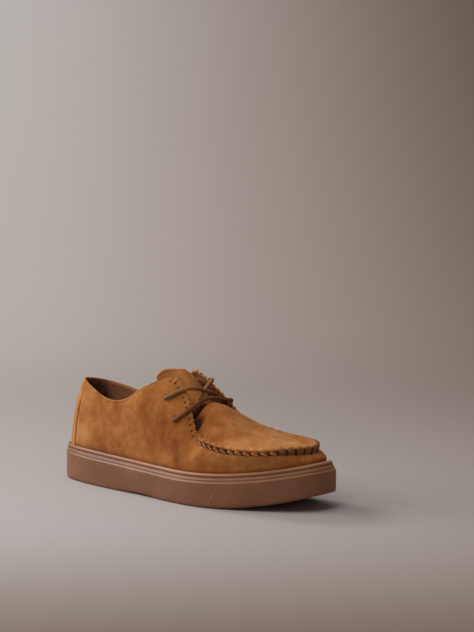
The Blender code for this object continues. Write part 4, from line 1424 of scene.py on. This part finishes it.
def lace_points(name):
    """Middle line of one run, out of its hole, over the flap and across, with the flat side's ups."""
    run = LACE_RUNS[name] + ((TUCKED_ENDS[name],) if name in TUCKED_ENDS else ())
    path, ups = hole_points(name, run[0].side)
    for point in run:
        if isinstance(point, OnShoe):
            u = on_side(u_of(point.base), point.side)
            normal = normals(u, point.up)
            path.append(surface(u, point.up) + normal * (EDGE_LIFT if point.up == 1.0 else LACE_LIFT))
            ups.append(normal)
        else:
            path.append(np.array((point.x * LENGTH, point.y * BALL_WIDTH, point.z * INSTEP_HEIGHT)))
            ups.append(np.array((-0.35, 0.0, 0.94)))
    path = np.array(path)
    path[:3] += unit(path[4] - path[2]) * HOLE_SHIFT
    if isinstance(run[-1], OnShoe):
        inside, normal = hole_points(name, run[-1].side)
        inside = np.array(inside) + unit(path[-2] - inside[2]) * HOLE_SHIFT
        path = np.concatenate([path, inside[::-1]])
        ups += normal
    return path, np.array(ups)


def build_laces(dark, light):
    # the bar gets the lace's painted-shade copy and the two runs its painted-light copy
    for name, mat in (("bar", dark), ("over run", light), ("crossing run", light)):
        path, ups = lace_points(name)
        points, faces = cord_mesh(path, 3.9 * MM, 3.2 * MM, 170, 20, ups)
        plain = np.zeros(len(points))
        piece("lace_" + name.replace(" ", "_"), points, faces, mat, ("lace",), plain)


def rounded(rings, radius):
    """Rings with the corners of their profile eased; a ring's fourth column is its tone."""
    done = [rings[0]]
    for a, b, c in zip(rings, rings[1:], rings[2:]):
        back, on = a - b, c - b
        back_length = np.linalg.norm(back[:, :3], axis=1, keepdims=True)
        on_length = np.linalg.norm(on[:, :3], axis=1, keepdims=True)
        before = b + back / back_length * np.minimum(0.42 * back_length, radius)
        after = b + on / on_length * np.minimum(0.42 * on_length, radius)
        done += [before, (before + after) / 4 + b / 2, after]
    return done + [rings[-1]]


def sole_columns(spacing):
    fine = np.linspace(0, 1, 1500)
    run = lengths(plan(fine))
    count = int(round(run[-1] / spacing))
    half = np.interp(np.linspace(0, run[-1], count + 1), run, fine)
    return np.concatenate([half, 2 - half[-2:0:-1]])


def cup_ring(columns, inset, height):
    """One ring of the cup: an inset from the outline, and a height over bottom or under the lip."""
    station = station_of(columns)
    above = height < 0
    base = lip_at(station) if above else bottom_at(station)
    shrink = upper_inset(columns) / UPPER_INSET if above else np.ones_like(columns)
    return np.column_stack([inset_plan(columns, inset * shrink), base + height])


def build_outsole(mat):
    columns = sole_columns(1.5 * MM)
    station = station_of(columns)
    names = [ring.name for ring in CUP_RINGS]
    cup = upper_inset(columns) - GAP
    # the painted highlights of the cup's lines grow stronger toward the front
    pale = 0.65 + 0.75 * smooth_step(station, 0.15, 0.60)
    rings = []
    for ring in CUP_RINGS:
        place = cup_ring(columns, ring.inset, ring.height)
        if ring.name == "cup wall":
            place = np.column_stack([inset_plan(columns, cup), place[:, 2]])
        amount = RING_LIGHT_AND_SHADE.get(ring.name, 0.0)
        rings.append(np.column_stack([place, amount * np.where(amount > 0, pale, 1.0)]))
    rings.append(np.column_stack([inset_plan(columns, cup), floor_at(station), np.zeros(len(columns))]))
    low, high = names.index("wall foot"), names.index("wall top")
    fill = [rings[low] + (rings[high] - rings[low]) * s for s in np.linspace(0, 1, 8)[1:-1]]
    rings = rounded(rings[: low + 1] + fill + rings[high:], 0.35 * MM)
    tone = [ring[:, 3] for ring in rings]
    rings = [ring[:, :3] for ring in rings]
    count = len(columns)
    faces = ring_faces(count, len(rings))
    points = list(rings)
    total = len(rings) * count
    half = count // 2
    steps = 26
    for base, is_tread in ((0, True), ((len(rings) - 1) * count, False)):
        ring = rings[0] if is_tread else rings[-1]
        previous = None
        for j in range(1, half):
            left, right = ring[j], ring[count - j]
            inside = left + (right - left) * np.linspace(0, 1, steps + 1)[1:-1, None]
            if is_tread:
                inside[:, 2] += tread_depth(inside)
            ids = [base + j] + list(range(total, total + steps - 1)) + [base + count - j]
            points.append(inside)
            total += steps - 1
            if previous is None:
                faces += [(base, ids[k], ids[k + 1]) for k in range(steps)]
            else:
                faces += [(previous[k], ids[k], ids[k + 1], previous[k + 1]) for k in range(steps)]
            previous = ids
        faces += [(previous[k], base + half, previous[k + 1]) for k in range(steps)]
    tone = np.concatenate(tone)
    points = np.concatenate(points)
    tone = np.concatenate([tone, np.zeros(len(points) - len(tone))])
    return piece("outsole_skin", points, faces, mat, ("outsole",), tone)


def tread_depth(points):
    """How far the tread's grooves reach up."""
    depth = np.zeros(len(points))
    for groove in GROOVES:
        middle = swing_at(groove.station) * BALL_WIDTH
        along = np.abs(points[:, 0] - groove.station * LENGTH)
        across = np.abs(points[:, 1] - middle)
        inside = smooth_step(along, GROOVE_WIDTH / 2 + 0.8 * MM, GROOVE_WIDTH / 2 - 0.8 * MM)
        inside *= smooth_step(across, groove.length / 2 + MM, groove.length / 2 - MM)
        depth = np.maximum(depth, GROOVE_DEPTH * inside)
    return depth


def build_lip_stitches(mat):
    """Row of uneven stitches in the groove below the lip."""
    fine = np.linspace(0, 2, 6000)
    groove = next(ring for ring in CUP_RINGS if ring.name == "groove")
    path = cup_ring(fine, groove.inset - 0.25 * MM, groove.height)
    run = lengths(path)
    count = int(round(run[-1] / (5.2 * MM)))
    pitch = run[-1] / count
    stitches = []
    for k in range(count):
        reach = 0.34 + 0.05 * math.sin(2.3 * k)
        at = (k + 0.5) * pitch + np.linspace(-reach, reach, 5) * pitch
        points = points_along(path, run, at)
        outward = plan_normal(np.interp(at, run, fine))
        sink = np.array((1.0, 0.15, 0.0, 0.15, 1.0)) * 0.7 * MM
        points[:, :2] -= outward * sink[:, None]
        stitches.append(cord_mesh(points, 0.95 * MM, 0.95 * MM, 9, 7))
    points, faces = joined(stitches)
    return piece("lip_stitches", points, faces, mat)


def build_mould_line(mat):
    """Thin raised line that the mould leaves on the lateral side wall."""
    low_u, high_u = 0.638, 0.6625
    share = np.linspace(0, 1, 24)
    u = low_u + (high_u - low_u) * share
    station = station_of(u)
    z = bottom_at(station) + 3.6 * MM + (lip_at(station) - bottom_at(station) - 12.6 * MM) * share
    flat = inset_plan(u, np.full(len(u), 0.06 * MM))
    ups = np.column_stack([plan_normal(u), np.zeros(len(u))])
    points, faces = cord_mesh(np.column_stack([flat, z]), 0.8 * MM, 0.4 * MM, 40, 8, ups)
    return piece("mould_line", points, faces, mat, (), np.full(len(points), 0.55))


def build_collar_stitches(mat):
    """Row of stitches inside the collar, where the lining is closed to the edge."""
    fine = np.linspace(-u_of(0.44), u_of(0.44), 3000)
    v = 1 - 3.4 * MM / side_length(fine % 2)
    path = surface(fine % 2, v) - normals(fine % 2, v) * (LINING_IN + 0.12 * MM)
    run = lengths(path)
    stitches = []
    for k in range(int(run[-1] / (3.2 * MM))):
        at = (k + 0.5) * 3.2 * MM + np.linspace(-1.15, 1.15, 5) * MM
        points = points_along(path, run, at)
        u = np.interp(at, run, fine) % 2
        inward = -normals(u, 1 - 3.4 * MM / side_length(u))
        points -= inward * (np.array((1.0, 0.1, 0.0, 0.1, 1.0)) * 0.45 * MM)[:, None]
        stitches.append(cord_mesh(points, 0.6 * MM, 0.6 * MM, 7, 6, inward))
    points, faces = joined(stitches)
    return piece("collar_stitches", points, faces, mat)


def build_medial_seam(mat):
    """Closed seam between vamp and quarter on the inner side, from the throat's corner to the sole."""
    share = np.linspace(0, 1, 30)
    u = 2 - np.arccos(1 - 2 * (0.627 - 0.040 * share)) / math.pi
    v = 0.965 - 0.93 * share
    base = surface(u, v)
    normal = normals(u, v)
    path = base + normal * (upper_relief(u, v, base) - 0.12 * MM)[:, None]
    points, faces = cord_mesh(path, 1.1 * MM, 0.5 * MM, 80, 8, normal)
    return piece("medial_seam", points, faces, mat, (), np.full(len(points), -0.8))


def build_insole(mat):
    columns = sole_columns(2.5 * MM)
    station = station_of(columns)
    base = floor_at(station) + GAP
    inset = upper_inset(columns) + UPPER_WALL + GAP
    levels = (
        (1.0, 0.0), (0.0, 0.8), (0.0, 3.2), (0.5, 4.1), (1.5, 4.5), (4.0, 4.35), (8.0, 4.1), (13.0, 3.9),
    )
    rings = [np.column_stack([inset_plan(columns, inset + s * MM), base + up * MM]) for s, up in levels]
    count = len(columns)
    faces = ring_faces(count, len(rings))
    for start in (0, (len(rings) - 1) * count):
        for j in range(count // 2):
            cap = (start + j, start + j + 1, start + (count - j - 1) % count, start + (count - j) % count)
            faces.append(tuple(dict.fromkeys(cap)))
    points = np.concatenate(rings)
    return piece("insole_skin", points, faces, mat, ("insole",), np.zeros(len(points)))


# Stage


def build_camera():
    data = bpy.data.cameras.new("camera")
    data.lens = CAMERA_LENS
    data.sensor_width = 36
    data.clip_end = 50
    camera = show("camera", data)
    camera.location = CAMERA_PLACE
    a, e = math.radians(CAMERA_HEADING), math.radians(CAMERA_DOWN)
    back = Vector((math.sin(a) * math.cos(e), -math.cos(a) * math.cos(e), math.sin(e)))
    camera.rotation_mode = "QUATERNION"
    camera.rotation_quaternion = (-back).to_track_quat("-Z", "Y")
    bpy.context.scene.camera = camera


def build_backdrop(mat):
    """Floor that sweeps up into a wall behind the shoe."""
    a = math.radians(CAMERA_HEADING)
    away = np.array((-math.sin(a), math.cos(a), 0.0))
    right = np.array((math.cos(a), math.sin(a), 0.0))
    profile = [(-8.0, 0.0), (1.2, 0.0)]
    for k in range(1, 17):
        angle = math.pi / 2 * k / 16
        profile.append((1.2 + 1.4 * math.sin(angle), 1.4 * (1 - math.cos(angle))))
    profile.append((2.6, 4.0))
    points, faces = [], []
    for along, up in profile:
        for side in (-6.0, 6.0):
            points.append(away * along + right * side + np.array((0, 0, up)))
    for k in range(len(profile) - 1):
        faces.append((2 * k, 2 * k + 1, 2 * k + 3, 2 * k + 2))
    mesh = bpy.data.meshes.new("backdrop")
    mesh.from_pydata([tuple(p) for p in points], [], faces)
    mesh.shade_smooth()
    mesh.materials.append(mat)
    show("backdrop", mesh)


def area_light(name, place, target, size, power, colour):
    data = bpy.data.lights.new(name, "AREA")
    data.shape = "RECTANGLE"
    data.size, data.size_y = size
    data.energy = power
    data.color = colour
    light = show(name, data)
    light.location = place
    light.rotation_mode = "QUATERNION"
    light.rotation_quaternion = (Vector(target) - Vector(place)).to_track_quat("-Z", "Y")


def build_lights():
    area_light("key", (-1.7, -1.5, 1.5), (0, 0, 0.05), (1.5, 1.3), 26, (1.0, 0.97, 0.94))
    area_light("left", (-1.9, 0.1, 1.5), (0, 0, 0.05), (0.6, 0.6), 22, (1.0, 0.97, 0.94))
    area_light("low left", (-1.8, -0.8, 0.6), (0, 0, 0.05), (1.0, 0.8), 10, (1.0, 0.97, 0.94))
    area_light("front", (0.4, -1.3, 1.9), (0, 0, 0.05), (1.2, 1.2), 14, (1.0, 0.97, 0.94))
    area_light("top", (0.0, 0.0, 2.4), (0, 0, 0.05), (1.8, 1.8), 10, (1.0, 0.97, 0.94))
    area_light("toe fill", (1.2, -1.0, 0.55), (0.1, 0, 0.06), (0.7, 0.5), 1.4, (1.0, 0.74, 0.46))
    world = bpy.data.worlds.new("room")
    bpy.context.scene.world = world
    world.use_nodes = True
    world.node_tree.nodes["Background"].inputs["Color"].default_value = (0.97, 0.94, 0.92, 1)
    world.node_tree.nodes["Background"].inputs["Strength"].default_value = 0.17


def main():
    build_camera()
    build_lights()
    build_backdrop(backdrop("backdrop_paper_painted_light"))
    deep = (0.050, 0.013, 0.004)
    tan = suede("suede_tan", deep, (0.220, 0.062, 0.011), (0.360, 0.123, 0.027), (0.520, 0.230, 0.074))
    # a paler copy of the suede for the tongue: painted light from above
    lit_tongue_tan = suede(
        "suede_tongue_lit", deep, (0.265, 0.074, 0.013), (0.430, 0.144, 0.032), (0.610, 0.262, 0.084)
    )
    gum = rubber("gum_rubber_skin")
    lining = leather("lining_leather", (0.045, 0.017, 0.009), (0.36, 0.155, 0.085), 0.6)
    footbed = leather("footbed_skin", (0.10, 0.042, 0.020), (0.17, 0.075, 0.036), 0.6)
    # one waxed lace in two colours of painted light: the shaded copy for the bar, the lit copy for the runs
    # over the top
    shaded_lace = leather("lace_shaded", (0.125, 0.036, 0.013), (0.205, 0.066, 0.026), 0.55, 1500)
    lit_lace = leather("lace_lit", (0.170, 0.072, 0.020), (0.285, 0.128, 0.039), 0.6, 1500)
    cord = thread("seam_thread", (0.36, 0.165, 0.075), (0.56, 0.30, 0.15))
    # darker copy of the seam thread: painted shade on the upright wraps at the toe's front
    shaded_toe_cord = thread("toe_thread_shaded", (0.150, 0.070, 0.032), (0.290, 0.150, 0.074))
    edge_cord = thread("eyestay_thread", (0.38, 0.165, 0.055), (0.56, 0.27, 0.10))
    sole_cord = thread("sole_thread", (0.12, 0.042, 0.024), (0.21, 0.085, 0.050))
    lining_cord = thread("lining_thread", (0.16, 0.075, 0.040), (0.30, 0.16, 0.09))
    hole = leather("hole_shade", (0.050, 0.014, 0.005), (0.090, 0.026, 0.009), 0.8)
    build_outsole(gum)
    build_lip_stitches(sole_cord)
    build_mould_line(gum)
    build_insole(footbed)
    build_upper(tan)
    build_lining(lining)
    build_collar_stitches(lining_cord)
    build_medial_seam(tan)
    build_moc_stitches(cord, shaded_toe_cord)
    build_eyestay_stitches(edge_cord)
    build_stitch_holes(hole)
    build_heel_strip(tan)
    build_tongue(lit_tongue_tan)
    build_laces(shaded_lace, lit_lace)
    bpy.context.scene.view_settings.view_transform = "Standard"


main()
